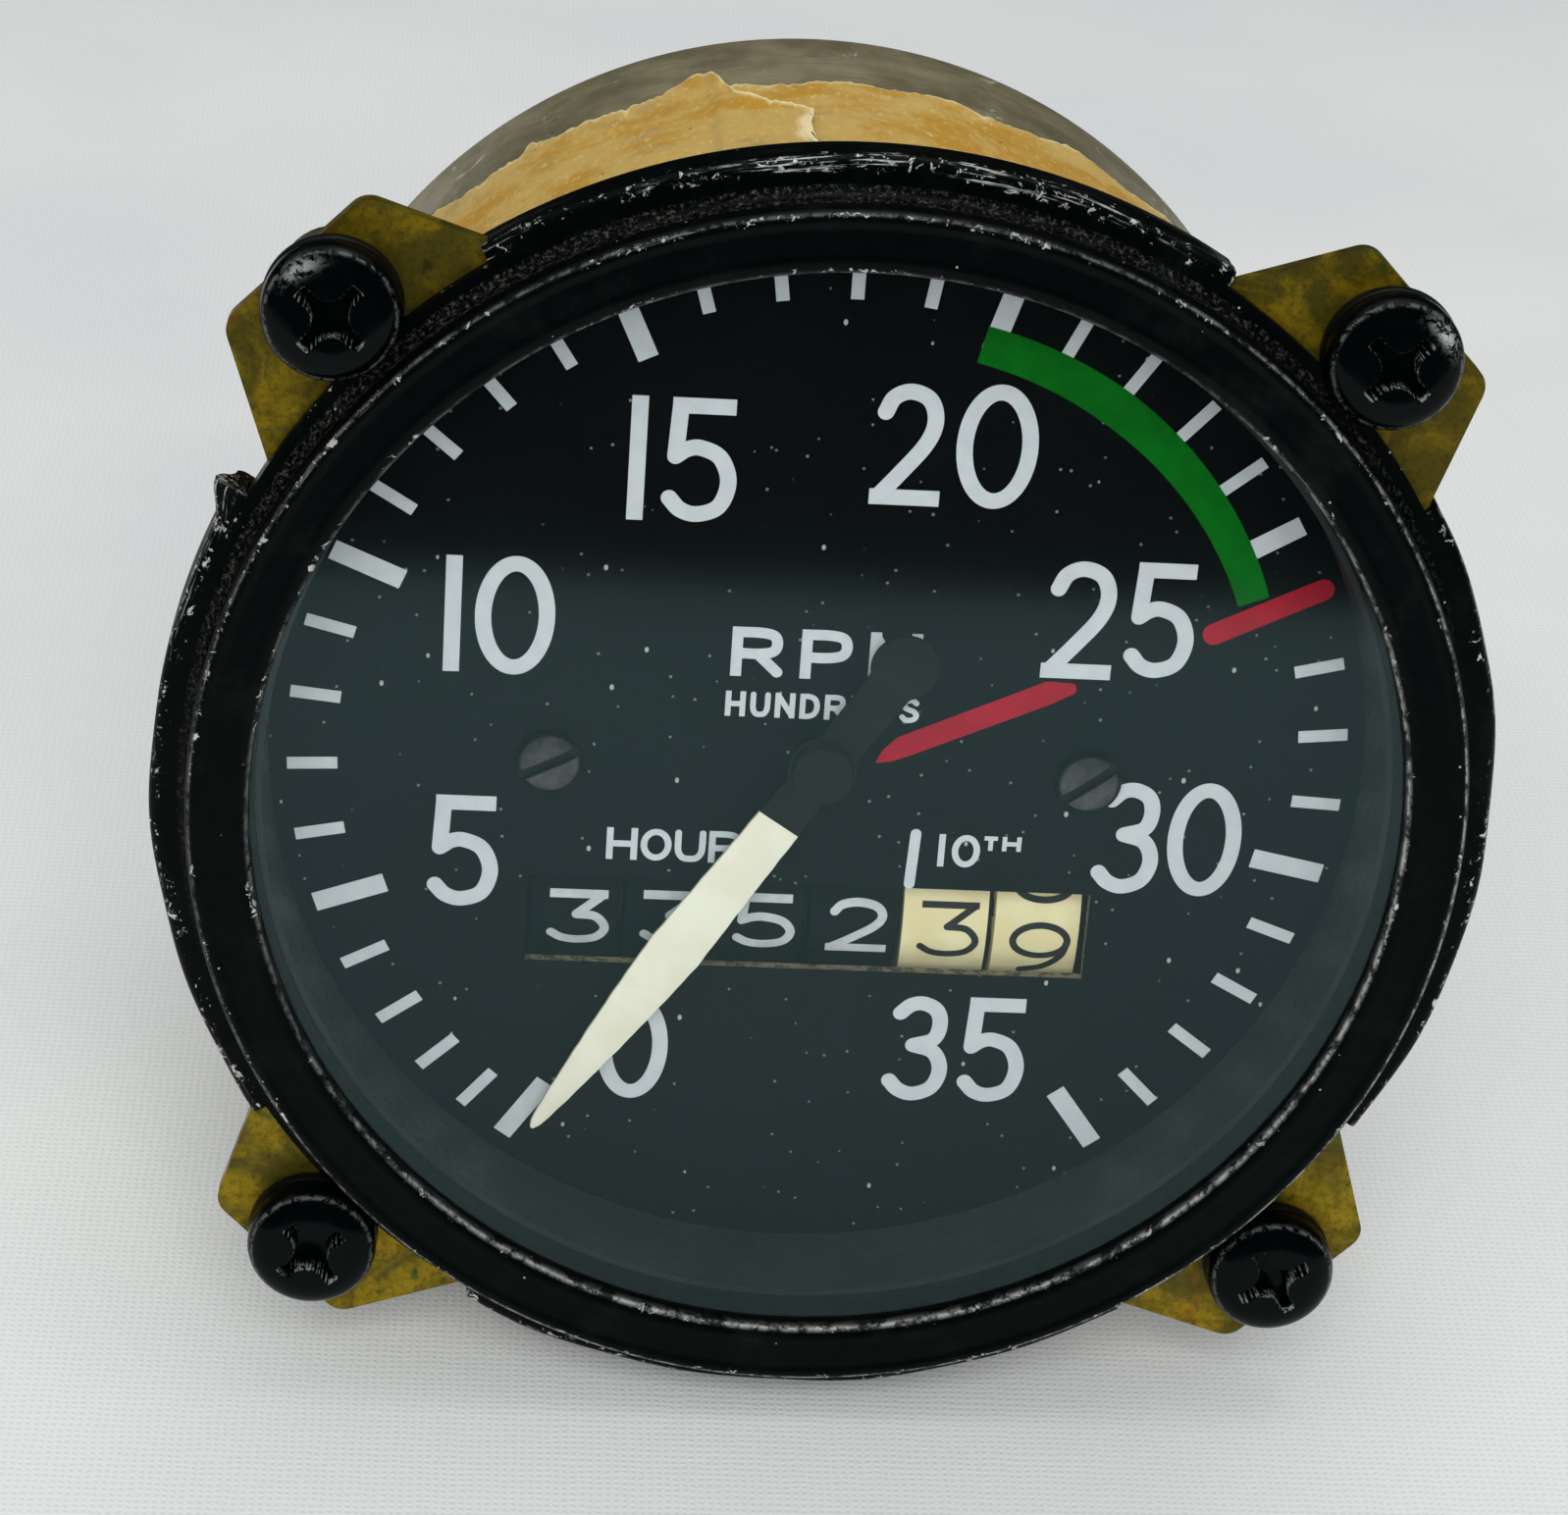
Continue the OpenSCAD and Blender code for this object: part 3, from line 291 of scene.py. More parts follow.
def alongRim(tree, pull):
    # place for patterns drawn out round the axis: x and z shrunk, and the across attribute kept
    x, y, z = splitPlace(tree, (pull, pull, pull))
    node = tree.nodes.new("ShaderNodeCombineXYZ")
    for socket, value in zip(node.inputs, (x, attribute(tree, "across"), z)):
        tree.links.new(value, socket)
    return node.outputs[0]


def plainFinish(name, main, other, patch, roughness, metallic, grain, specular=0.5):
    # two close tones in soft patches, with a fine grain in the roughness and the relief
    material, tree, shader = newFinish(name)
    patches = spread(tree, noise(tree, patch, 4, 0.6), 0.35, 0.65)
    fine = noise(tree, grain, 3, 0.6)
    dress(tree, shader, color=mixTone(tree, patches, tone(*main), tone(*other)), metallic=metallic,
          roughness=spread(tree, fine, 0.3, 0.7, *roughness), specular=specular)
    relief(tree, shader, fine, 0.01)
    return material


# Finishes of this instrument
def bezelPaintFinish():
    # black paint: chips and scratches to bare metal where the wear attribute is high, a thin bright line
    # where edge is high, and grey-brown grit where dust is high
    material, tree, shader = newFinish("blackPaint")
    wear = attribute(tree, "wear")
    patchy = calc(tree, "MULTIPLY", wear, spread(tree, noise(tree, 7, 4, 0.6), 0.34, 0.64, 0.1, 0.24))
    ragged = calc(tree, "ADD", calc(tree, "MINIMUM", patchy, 0.2), noise(tree, 0.7, 8, 0.72, (1, 1, 1), 0.6))
    chips = spread(tree, ragged, 0.765, 0.785)
    streaks = spread(tree, noise(tree, 0.24, 5, 0.65, place=alongRim(tree, 0.06)), 0.54, 0.62)
    scratches = calc(tree, "MULTIPLY", streaks, spread(tree, patchy, 0.2, 0.31))
    broken = spread(tree, noise(tree, 1.3, 7, 0.8), 0.44, 0.56, 0.06, 0.95)
    line = calc(tree, "MULTIPLY", attribute(tree, "edge"), broken)
    bared = calc(tree, "MAXIMUM", calc(tree, "MAXIMUM", chips, line), calc(tree, "MULTIPLY", scratches, 0.75))
    paint = mixTone(tree, spread(tree, noise(tree, 5, 6, 0.7), 0.5, 0.8), tone(2, 5, 5), tone(13, 17, 16))
    grit = calc(tree, "MULTIPLY", attribute(tree, "dust"), spread(tree, noise(tree, 0.32, 7, 0.8), 0.5, 0.68))
    gritty = mixTone(tree, grit, paint, tone(108, 106, 96))
    dusty = mixTone(tree, specks(tree, 2.2, 0.09), gritty, tone(150, 150, 146))
    bare = mixTone(tree, noise(tree, 0.5, 4), tone(150, 150, 146), tone(232, 232, 228))
    dress(tree, shader, color=mixTone(tree, bared, dusty, bare), metallic=calc(tree, "MULTIPLY", chips, 0.4),
          roughness=spread(tree, noise(tree, 1.8, 5, 0.65), 0.3, 0.75, 0.28, 0.5), specular=0.07)
    raised = calc(tree, "ADD", noise(tree, 0.7, 4, 0.6), calc(tree, "MULTIPLY", grit, 1.5))
    relief(tree, shader, calc(tree, "SUBTRACT", raised, calc(tree, "MULTIPLY", chips, 1.2)), 0.03)
    return material


def canMetalFinish():
    # dull drawn metal with grey bloom, pale scuffs and fine scratches round the can
    material, tree, shader = newFinish("canMetal")
    bloom = spread(tree, noise(tree, 9, 6, 0.65), 0.32, 0.68)
    flank = spread(tree, calc(tree, "ABSOLUTE", splitPlace(tree)[0], 0), 16 * mm, 34 * mm)
    upper = mixTone(tree, bloom, tone(112, 103, 76), tone(148, 139, 110))
    base = mixTone(tree, flank, upper, mixTone(tree, bloom, tone(136, 128, 104), tone(178, 172, 148)))
    rubbed = calc(tree, "ADD", noise(tree, 3.2, 7, 0.75, (1, 0.5, 1), 0.8),
                  calc(tree, "MULTIPLY", flank, 0.06))
    scuffed = mixTone(tree, spread(tree, rubbed, 0.6, 0.7), base, tone(206, 204, 196))
    lines = spread(tree, noise(tree, 1.0, 3, 0.5, (0.12, 3, 0.12)), 0.64, 0.72)
    dress(tree, shader, color=mixTone(tree, lines, scuffed, tone(104, 95, 80)), metallic=0.3,
          roughness=spread(tree, noise(tree, 2.5, 5), 0.3, 0.7, 0.42, 0.66))
    relief(tree, shader, noise(tree, 0.6, 4, 0.6), 0.012)
    return material


def tapePaperFinish():
    # aged paper: golden tone with brown stains, fine fibres, and pale fibres at the torn edge
    material, tree, shader = newFinish("tapePaper")
    stains = spread(tree, noise(tree, 8, 6, 0.62, (1, 1, 1), 0.4), 0.44, 0.6)
    base = mixTone(tree, stains, tone(196, 162, 84), tone(186, 138, 34))
    smudges = spread(tree, noise(tree, 4.5, 7, 0.7, (1, 1, 1), 0.8), 0.54, 0.7, 0.0, 0.7)
    dulled = mixTone(tree, smudges, base, tone(160, 136, 80))
    fibres = noise(tree, 0.5, 6, 0.7, (1, 0.4, 1))
    flecked = mixTone(tree, spread(tree, fibres, 0.52, 0.76), dulled, tone(218, 190, 116))
    spots = mixTone(tree, specks(tree, 3.1, 0.16), flecked, tone(112, 84, 42))
    edge = mixTone(tree, attribute(tree, "torn"), spots, tone(238, 222, 172))
    dress(tree, shader, color=edge, roughness=spread(tree, fibres, 0.3, 0.7, 0.66, 0.86))
    relief(tree, shader, calc(tree, "ADD", fibres, noise(tree, 2.4, 3)), 0.05)
    return material


def chromateFinish():
    # yellow chromate on steel: olive and brass tones in drifting patches, with a faint red and green cast
    material, tree, shader = newFinish("lugChromate")
    drift = noise(tree, 5.5, 4, 0.55, (1, 1, 1), 1.2)
    olive = mixTone(tree, spread(tree, drift, 0.4, 0.62), tone(98, 87, 20), tone(156, 131, 16))
    greenish = spread(tree, noise(tree, 3.4, 3, 0.5, (1, 1, 1), 1.6), 0.58, 0.72)
    green = mixTone(tree, greenish, olive, tone(88, 96, 34))
    reddish = spread(tree, noise(tree, 4.2, 3, 0.5, (1.3, 1, 0.8), 1.4), 0.64, 0.8)
    red = mixTone(tree, reddish, green, tone(150, 98, 30))
    speckled = spread(tree, noise(tree, 0.5, 6, 0.75), 0.46, 0.62, 0.0, 0.55)
    grain = mixTone(tree, speckled, red, tone(62, 58, 26))
    dirt = mixTone(tree, spread(tree, noise(tree, 2.2, 7, 0.7), 0.56, 0.74), grain, tone(40, 38, 22))
    dress(tree, shader, color=dirt, metallic=0.72,
          roughness=spread(tree, noise(tree, 1.2, 5), 0.3, 0.7, 0.34, 0.58))
    relief(tree, shader, noise(tree, 0.7, 4, 0.6), 0.012)
    return material


def screwBlackFinish():
    # glossy black screw with bright metal where a driver has worn it, and a thin pale ring at the rim that is
    # partly worn edge and partly painted highlight
    material, tree, shader = newFinish("screwBlack")
    ragged = spread(tree, noise(tree, 0.5, 7, 0.75, (1, 1, 1), 0.5), 0.46, 0.54)
    wornAndGlint = calc(tree, "MULTIPLY", attribute(tree, "wear"), ragged)
    dress(tree, shader, color=mixTone(tree, wornAndGlint, tone(2, 4, 5), tone(206, 212, 208)),
          metallic=calc(tree, "MULTIPLY", wornAndGlint, 0.4), specular=0.08,
          roughness=spread(tree, noise(tree, 0.9, 4), 0.3, 0.7, 0.12, 0.24))
    relief(tree, shader, noise(tree, 1.2, 3), 0.012)
    return material


def slotScrewFinish():
    # dull dark screw with painted shade: nearly black in its slot and at its foot, behind the depth of the
    # slot's floor
    material, tree, shader = newFinish("slotScrew")
    patches = spread(tree, noise(tree, 1.1, 5, 0.65), 0.35, 0.65)
    metal = mixTone(tree, patches, tone(58, 59, 58), tone(86, 86, 83))
    floorFrom, floorTo = 6.45, 6.55
    # painted shade: everything behind the depth of the slot's floor is made nearly black
    paintedSlotShade = spread(tree, splitPlace(tree)[1], floorFrom * mm, floorTo * mm)
    dress(tree, shader, color=mixTone(tree, paintedSlotShade, metal, tone(1, 1, 1)), metallic=0.5,
          roughness=spread(tree, noise(tree, 0.6, 4), 0.3, 0.7, 0.3, 0.44))
    relief(tree, shader, noise(tree, 0.4, 4, 0.6), 0.012)
    return material


def dialBlackFinish():
    # flat black dial with a fine tooth and pale dust, and on the cut edges behind its face a pale tone that
    # is partly bare metal and partly a painted highlight where the cut catches light
    material, tree, shader = newFinish("dialBlack")
    cloud = spread(tree, noise(tree, 14, 4), 0.3, 0.7)
    black = mixTone(tree, cloud, tone(7, 11, 12), tone(9, 14, 15))
    fine = mixTone(tree, specks(tree, 1.4, 0.12), black, tone(124, 130, 130))
    dust = mixTone(tree, specks(tree, 2.6, 0.16, (1, 1, 0.7)), fine, tone(178, 182, 180))
    cutFrom, cutTo = 7.24, 7.3
    behind = spread(tree, splitPlace(tree)[1], cutFrom * mm, cutTo * mm)
    # pale tone on the cut edges: partly bare metal, partly a painted highlight
    bareEdgeAndHighlight = calc(tree, "MULTIPLY", behind, spread(tree, noise(tree, 0.7, 5, 0.7), 0.4, 0.56, 0.2, 1.0))
    dress(tree, shader, color=mixTone(tree, bareEdgeAndHighlight, dust, tone(140, 130, 104)), specular=0.08,
          roughness=spread(tree, noise(tree, 0.5, 4), 0.3, 0.7, 0.55, 0.72))
    relief(tree, shader, noise(tree, 0.25, 3), 0.006)
    return material


def glassFinish():
    # clear pane: light goes straight through, and a share that grows with the angle is mirrored at the
    # face that is entered; the face that is left mirrors nothing, because the rays aren't bent on the way
    material, tree, output = bareMaterial("clearGlass")
    clear = tree.nodes.new("ShaderNodeBsdfTransparent")
    clear.inputs["Color"].default_value = (0.964, 0.964, 0.964, 1)
    mirror = tree.nodes.new("ShaderNodeBsdfGlossy")
    setInputs(mirror, {"Color": (0.6, 0.98, 1.0, 1), "Roughness": 0.08})
    share = tree.nodes.new("ShaderNodeFresnel")
    share.inputs["IOR"].default_value = 1.466
    sides = tree.nodes.new("ShaderNodeNewGeometry")
    entered = calc(tree, "SUBTRACT", 1, sides.outputs["Backfacing"])
    both = tree.nodes.new("ShaderNodeMixShader")
    tree.links.new(calc(tree, "MULTIPLY", share.outputs[0], entered), both.inputs[0])
    tree.links.new(clear.outputs[0], both.inputs[1])
    tree.links.new(mirror.outputs[0], both.inputs[2])
    tree.links.new(both.outputs[0], output.inputs[0])
    return material


def clothFinish():
    # pale cotton: a fine plain weave from two crossed waves, with soft folds shown only as painted shade,
    # broad patches a little lighter and darker
    material, tree, shader = newFinish("floorCloth")
    threadWidth = 0.55
    threads = []
    for direction in ("X", "Y"):
        wave = tree.nodes.new("ShaderNodeTexWave")
        wave.bands_direction = direction
        tree.links.new(coords(tree), wave.inputs["Vector"])
        setInputs(wave, {"Scale": 0.314 / (threadWidth * mm), "Distortion": 2.5, "Detail": 2})
        threads.append(wave.outputs[1])
    weave = calc(tree, "MULTIPLY", *threads)
    # painted shade of soft folds: broad lighter and darker patches
    soft = spread(tree, noise(tree, 60, 3), 0.3, 0.7)
    pale = mixTone(tree, soft, tone(226, 226, 227), tone(234, 234, 233))
    shaded = calc(tree, "MULTIPLY", weave, 0.25)
    dress(tree, shader, color=mixTone(tree, shaded, pale, tone(206, 206, 208)), roughness=0.9)
    relief(tree, shader, weave, 0.06, 0.5)
    return material


# Plain finishes: both tones, patch size, roughness range, metallic share, grain size and specular level
plainLooks = {
    "washerBlack": ((9, 9, 10), (17, 17, 18), 2, (0.35, 0.55), 0.0, 0.6, 0.2),
    "markPaint": ((200, 208, 211), (208, 215, 217), 1.2, (0.6, 0.75), 0.0, 0.25, 0.2),
    "pointerCream": ((244, 244, 224), (238, 236, 212), 3, (0.5, 0.65), 0.0, 0.3),
    "pointerBlack": ((15, 18, 19), (20, 23, 24), 2, (0.5, 0.65), 0.0, 0.3, 0.2),
    "redPaint": ((172, 14, 44), (158, 10, 38), 2, (0.45, 0.6), 0.0, 0.4, 0.12),
    "greenPaint": ((0, 114, 22), (0, 100, 16), 3, (0.45, 0.6), 0.0, 0.4, 0.08),
    "drumBlack": ((5, 11, 12), (8, 15, 16), 2, (0.45, 0.6), 0.0, 0.4, 0.08),
    "drumCream": ((240, 232, 184), (232, 220, 168), 3, (0.45, 0.6), 0.0, 0.4),
    "digitGrey": ((206, 212, 212), (192, 198, 198), 1, (0.55, 0.7), 0.0, 0.3),
    "digitDark": ((30, 28, 27), (42, 39, 36), 1, (0.55, 0.7), 0.0, 0.3),
    # the transfer plates are dark steel, kept dark as painted shade in the gaps between the drums
    "platePaintedShade": ((24, 24, 23), (34, 33, 31), 2, (0.5, 0.65), 0.3, 0.4),
    "gasketRubber": ((15, 16, 17), (22, 23, 24), 2, (0.7, 0.85), 0.0, 0.4),
    "spacerGrey": ((36, 40, 43), (46, 50, 53), 6, (0.5, 0.65), 0.0, 0.5),
    "stemMetal": ((178, 173, 160), (150, 144, 130), 3, (0.3, 0.48), 0.9, 0.5),
    "nutMetal": ((158, 151, 134), (128, 119, 98), 3, (0.32, 0.52), 0.9, 0.5),
    "brassPlate": ((190, 164, 98), (164, 134, 72), 6, (0.3, 0.48), 0.92, 0.5),
    "bronzeBush": ((164, 116, 64), (134, 92, 50), 2, (0.32, 0.5), 0.92, 0.4),
    "steelBright": ((164, 168, 172), (138, 142, 146), 3, (0.24, 0.42), 0.95, 0.3),
    "aluminiumCup": ((200, 203, 206), (180, 183, 186), 4, (0.26, 0.42), 0.95, 0.3),
    "softIron": ((112, 114, 116), (90, 91, 92), 3, (0.4, 0.58), 0.85, 0.4),
    "cardBlack": ((14, 14, 15), (18, 18, 19), 50, (0.8, 0.9), 0.0, 5),
}
finishes = {name: plainFinish(name, *look) for name, look in plainLooks.items()}
finishes.update({
    "blackPaint": bezelPaintFinish(), "canMetal": canMetalFinish(), "tapePaper": tapePaperFinish(),
    "lugChromate": chromateFinish(), "screwBlack": screwBlackFinish(), "slotScrew": slotScrewFinish(),
    "dialBlack": dialBlackFinish(), "clearGlass": glassFinish(), "floorCloth": clothFinish(),
})
print("finishes made:", len(finishes))


# Floor, dark card and lights
floorSlope = ((stageLook["floorRear"][1] - stageLook["floorFront"][1])
              / (stageLook["floorRear"][0] - stageLook["floorFront"][0]))


def floorHeight(depth):
    # height in mm of the cloth under the instrument, which leans back on its can
    return stageLook["floorFront"][1] + floorSlope * (depth - stageLook["floorFront"][0])


def stageSheet(name, corners, finish):
    mesh = bpy.data.meshes.new(name)
    mesh.from_pydata((np.array(corners) * mm).tolist(), [], [(0, 1, 2, 3)])
    sheet = bpy.data.objects.new(name, mesh)
    mesh.materials.append(finishes[finish])
    scene.collection.objects.link(sheet)
    return sheet


half = stageLook["floorHalf"]
floorPlan = ((-half, -half), (half, -half), (half, half), (-half, half))
stageSheet("floorCloth", [(x, y, floorHeight(y)) for x, y in floorPlan], "floorCloth")

# Dark cards that only mirror-like surfaces see: one in front, one at each side and one behind
cardHalf = stageLook["cardHalf"]
cardEnds = {
    "darkCardFront": ((-cardHalf, stageLook["cardDepth"]), (cardHalf, stageLook["cardDepth"])),
    "darkCardLeft": ((-cardHalf, stageLook["cardDepth"]), (-cardHalf, cardHalf)),
    "darkCardRight": ((cardHalf, stageLook["cardDepth"]), (cardHalf, cardHalf)),
    "darkCardRear": ((-cardHalf, cardHalf), (cardHalf, cardHalf)),
}
for cardName, (first, second) in cardEnds.items():
    feet = [(x, y, floorHeight(y)) for x, y in (first, second)]
    heads = [(x, y, z + stageLook["cardHeight"]) for x, y, z in reversed(feet)]
    darkCard = stageSheet(cardName, feet + heads, "cardBlack")
    darkCard.visible_camera = False
    darkCard.visible_diffuse = False
    darkCard.visible_shadow = False
    darkCard.visible_transmission = False

world = bpy.data.worlds.new("softRoom")
world.use_nodes = True
setInputs(world.node_tree.nodes["Background"], {"Color": (0.93, 0.968, 0.975, 1), "Strength": 0.55})
scene.world = world

# The front panel lights the dial but isn't mirrored, because the dark card stands before it
lights = {
    "ceilingPanel": {"at": (0.05, 0.05, 0.80), "size": 0.5, "power": 1.2, "tint": (1.0, 0.99, 0.97),
                     "mirrored": True},
    "frontPanel": {"at": (-0.02, -0.75, 0.42), "size": 0.6, "power": 5.2, "tint": (0.98, 1.0, 0.99),
                   "mirrored": False},
}
for lightName, light in lights.items():
    lampData = bpy.data.lights.new(lightName, "AREA")
    lampData.shape = "SQUARE"
    lampData.size = light["size"]
    lampData.energy = light["power"]
    lampData.color = light["tint"]
    lamp = bpy.data.objects.new(lightName, lampData)
    lamp.location = light["at"]
    lamp.visible_glossy = light["mirrored"]
    aim = -Vector(light["at"])
    lamp.rotation_euler = aim.to_track_quat("-Z", "Y").to_euler()
    scene.collection.objects.link(lamp)
print("stage set: floor slope", round(math.degrees(math.atan(floorSlope)), 2), "degrees")


# Painted marks: a stroke is a ribbon along a centre line, a thin slab with round or square ends
def smoothPath(controls, perSpan=8):
    # even curve through the control points: each span blends its two ends and their neighbours' slopes
    points = np.asarray(controls, dtype=float)
    chain = np.concatenate([2 * points[:1] - points[1:2], points, 2 * points[-1:] - points[-2:-1]])
    a, b, c, d = (part[:, None, :] for part in (chain[:-3], chain[1:-2], chain[2:-1], chain[3:]))
    t = (np.arange(perSpan) / perSpan)[None, :, None]
    square = 2 * a - 5 * b + 4 * c - d
    cube = 3 * b - a - 3 * c + d
    curve = 0.5 * (2 * b + (c - a) * t + square * t ** 2 + cube * t ** 3)
    return np.concatenate([curve.reshape(-1, 2), points[-1:]])


def ellipsePath(centre, halfWidth, halfHeight, steps=48):
    angle = 2 * np.pi * np.arange(steps) / steps
    return np.stack([centre[0] + halfWidth * np.cos(angle), centre[1] + halfHeight * np.sin(angle)], axis=-1)


def strokeSides(path, width, closed=False, roundEnds=True, capSteps=6):
    # left and right edges: the centre line moved by half the width along its normal,
    # with a half circle of narrowing rows past each round end
    path = np.asarray(path, dtype=float)
    halfWidth = np.broadcast_to(np.asarray(width, dtype=float) / 2, (len(path),))
    if closed:
        slope = np.roll(path, -1, axis=0) - np.roll(path, 1, axis=0)
    else:
        slope = np.gradient(path, axis=0)
    slope = slope / np.linalg.norm(slope, axis=1, keepdims=True)
    if roundEnds and not closed:
        angle = np.radians(np.linspace(8, 82, capSteps))[:, None]
        startCap = path[0] - slope[0] * halfWidth[0] * np.cos(angle)
        endCap = path[-1] + slope[-1] * halfWidth[-1] * np.cos(angle[::-1])
        path = np.concatenate([startCap, path, endCap])
        slope = np.concatenate([np.repeat(slope[:1], capSteps, 0), slope, np.repeat(slope[-1:], capSteps, 0)])
        halfWidth = np.concatenate([halfWidth[0] * np.sin(angle[:, 0]), halfWidth,
                                    halfWidth[-1] * np.sin(angle[::-1, 0])])
    normal = np.stack([-slope[:, 1], slope[:, 0]], axis=-1)
    return path + normal * halfWidth[:, None], path - normal * halfWidth[:, None]


def slabShell(left, right, place, low, high, closed=False):
    # four-sided section for each row: both edges at the high and at the low level
    corners = [place(left[:, 0], left[:, 1], high), place(right[:, 0], right[:, 1], high),
               place(right[:, 0], right[:, 1], low), place(left[:, 0], left[:, 1], low)]
    return tubeShell(np.stack(corners, axis=1), closed)


# Glyphs in a unit box, as strokes: a line or a curve through points, or a loop by centre and half axes
strokeStep = 0.003               # mm between the levels of a glyph's strokes, so that no faces coincide
glyphs = {
    "0": [("loop", (0.5, 0.5, 0.5, 0.5))],
    "1": [("line", [(0.5, 0), (0.5, 1)])],
    "2": [("curve", [(0.06, 0.80), (0.2, 0.94), (0.5, 1), (0.84, 0.93), (0.97, 0.74), (0.84, 0.52),
                     (0.42, 0.24), (0.02, 0)]), ("line", [(0.02, 0), (1, 0)])],
    "3": [("curve", [(0.12, 0.89), (0.32, 0.98), (0.57, 1), (0.84, 0.93), (0.93, 0.78), (0.82, 0.61),
                     (0.42, 0.54)]),
          ("curve", [(0.42, 0.54), (0.84, 0.47), (1, 0.28), (0.86, 0.08), (0.5, 0), (0.2, 0.04), (0, 0.14)])],
    "4": [("line", [(0.72, 1), (0, 0.3)]), ("line", [(0, 0.3), (1, 0.3)]), ("line", [(0.72, 1), (0.72, 0)])],
    "5": [("line", [(0.12, 1), (0.92, 1)]), ("line", [(0.12, 1), (0.07, 0.53)]),
          ("curve", [(0.07, 0.53), (0.27, 0.6), (0.5, 0.615), (0.84, 0.53), (1, 0.31), (0.86, 0.08), (0.5, 0),
                     (0.2, 0.035), (0, 0.14)])],
    "6": [("loop", (0.5, 0.3, 0.5, 0.3)), ("curve", [(0.82, 1), (0.4, 0.86), (0.1, 0.6), (0, 0.3)])],
    "7": [("line", [(0, 1), (1, 1)]), ("curve", [(1, 1), (0.6, 0.55), (0.4, 0)])],
    "8": [("loop", (0.5, 0.76, 0.42, 0.24)), ("loop", (0.5, 0.26, 0.5, 0.26))],
    "9": [("loop", (0.5, 0.68, 0.5, 0.32)), ("curve", [(1, 0.68), (0.9, 0.36), (0.6, 0.1), (0.2, 0)])],
    "flat3": [("line", [(0.04, 1), (0.96, 1)]), ("line", [(0.96, 1), (0.46, 0.58)]),
              ("curve", [(0.46, 0.58), (0.82, 0.54), (1, 0.3), (0.84, 0.07), (0.5, 0), (0.2, 0.04),
                         (0, 0.16)])],
    "R": [("line", [(0, 0), (0, 1)]), ("line", [(0.5, 0.46), (1, 0)]),
          ("curve", [(0, 1), (0.55, 1), (0.88, 0.93), (0.97, 0.73), (0.88, 0.53), (0.55, 0.46), (0, 0.46)])],
    "P": [("line", [(0, 0), (0, 1)]),
          ("curve", [(0, 1), (0.55, 1), (0.9, 0.93), (1, 0.71), (0.9, 0.5), (0.55, 0.42), (0, 0.42)])],
    "M": [("line", [(0, 0), (0, 1)]), ("line", [(0, 1), (0.5, 0.25)]), ("line", [(0.5, 0.25), (1, 1)]),
          ("line", [(1, 1), (1, 0)])],
    "H": [("line", [(0, 0), (0, 1)]), ("line", [(1, 0), (1, 1)]), ("line", [(0, 0.5), (1, 0.5)])],
    "U": [("curve", [(0, 1), (0, 0.62), (0.03, 0.26), (0.22, 0.04), (0.5, 0), (0.78, 0.04), (0.97, 0.26),
                     (1, 0.62), (1, 1)])],
    "N": [("line", [(0, 0), (0, 1)]), ("line", [(0, 1), (1, 0)]), ("line", [(1, 0), (1, 1)])],
    "D": [("line", [(0, 0), (0, 1)]),
          ("curve", [(0, 1), (0.45, 1), (0.85, 0.85), (1, 0.5), (0.85, 0.15), (0.45, 0), (0, 0)])],
    "E": [("line", [(0, 0), (0, 1)]), ("line", [(0, 1), (0.95, 1)]), ("line", [(0, 0.52), (0.8, 0.52)]),
          ("line", [(0, 0), (0.95, 0)])],
    "S": [("curve", [(0.92, 0.86), (0.7, 0.98), (0.45, 1), (0.14, 0.9), (0.1, 0.68), (0.4, 0.54),
                     (0.75, 0.45), (0.97, 0.27), (0.84, 0.07), (0.5, 0), (0.2, 0.03), (0, 0.16)])],
    "T": [("line", [(0, 1), (1, 1)]), ("line", [(0.5, 1), (0.5, 0)])],
}
glyphs["O"] = glyphs["0"]


def glyphShells(glyph, box, width, place, lift, thickness):
    # box: left, right, bottom and top of the painted glyph; each stroke lies a hair above the one before
    left, right, bottom, top = box
    corner = np.array([left + width / 2, bottom + width / 2])
    span = np.array([max(right - left - width, 0), top - bottom - width])
    shells = []
    for order, (kind, data) in enumerate(glyphs[glyph]):
        closed = kind == "loop"
        if closed:
            path = ellipsePath(corner + span * data[:2], span[0] * data[2], span[1] * data[3])
        elif kind == "line":
            path = corner + span * np.linspace(data[0], data[1], 6)
        else:
            path = corner + span * smoothPath(data)
        square = kind == "line" and 0 in np.subtract(*data)      # level and upright lines end square
        if square:
            reach = width / 2 * np.sign(path[-1] - path[0])
            path = np.concatenate([path[:1] - reach, path[1:-1], path[-1:] + reach])
        sides = strokeSides(path, width, closed, not square)
        level = lift + strokeStep * order
        shells.append(slabShell(*sides, place, level - thickness, level, closed))
    return shells


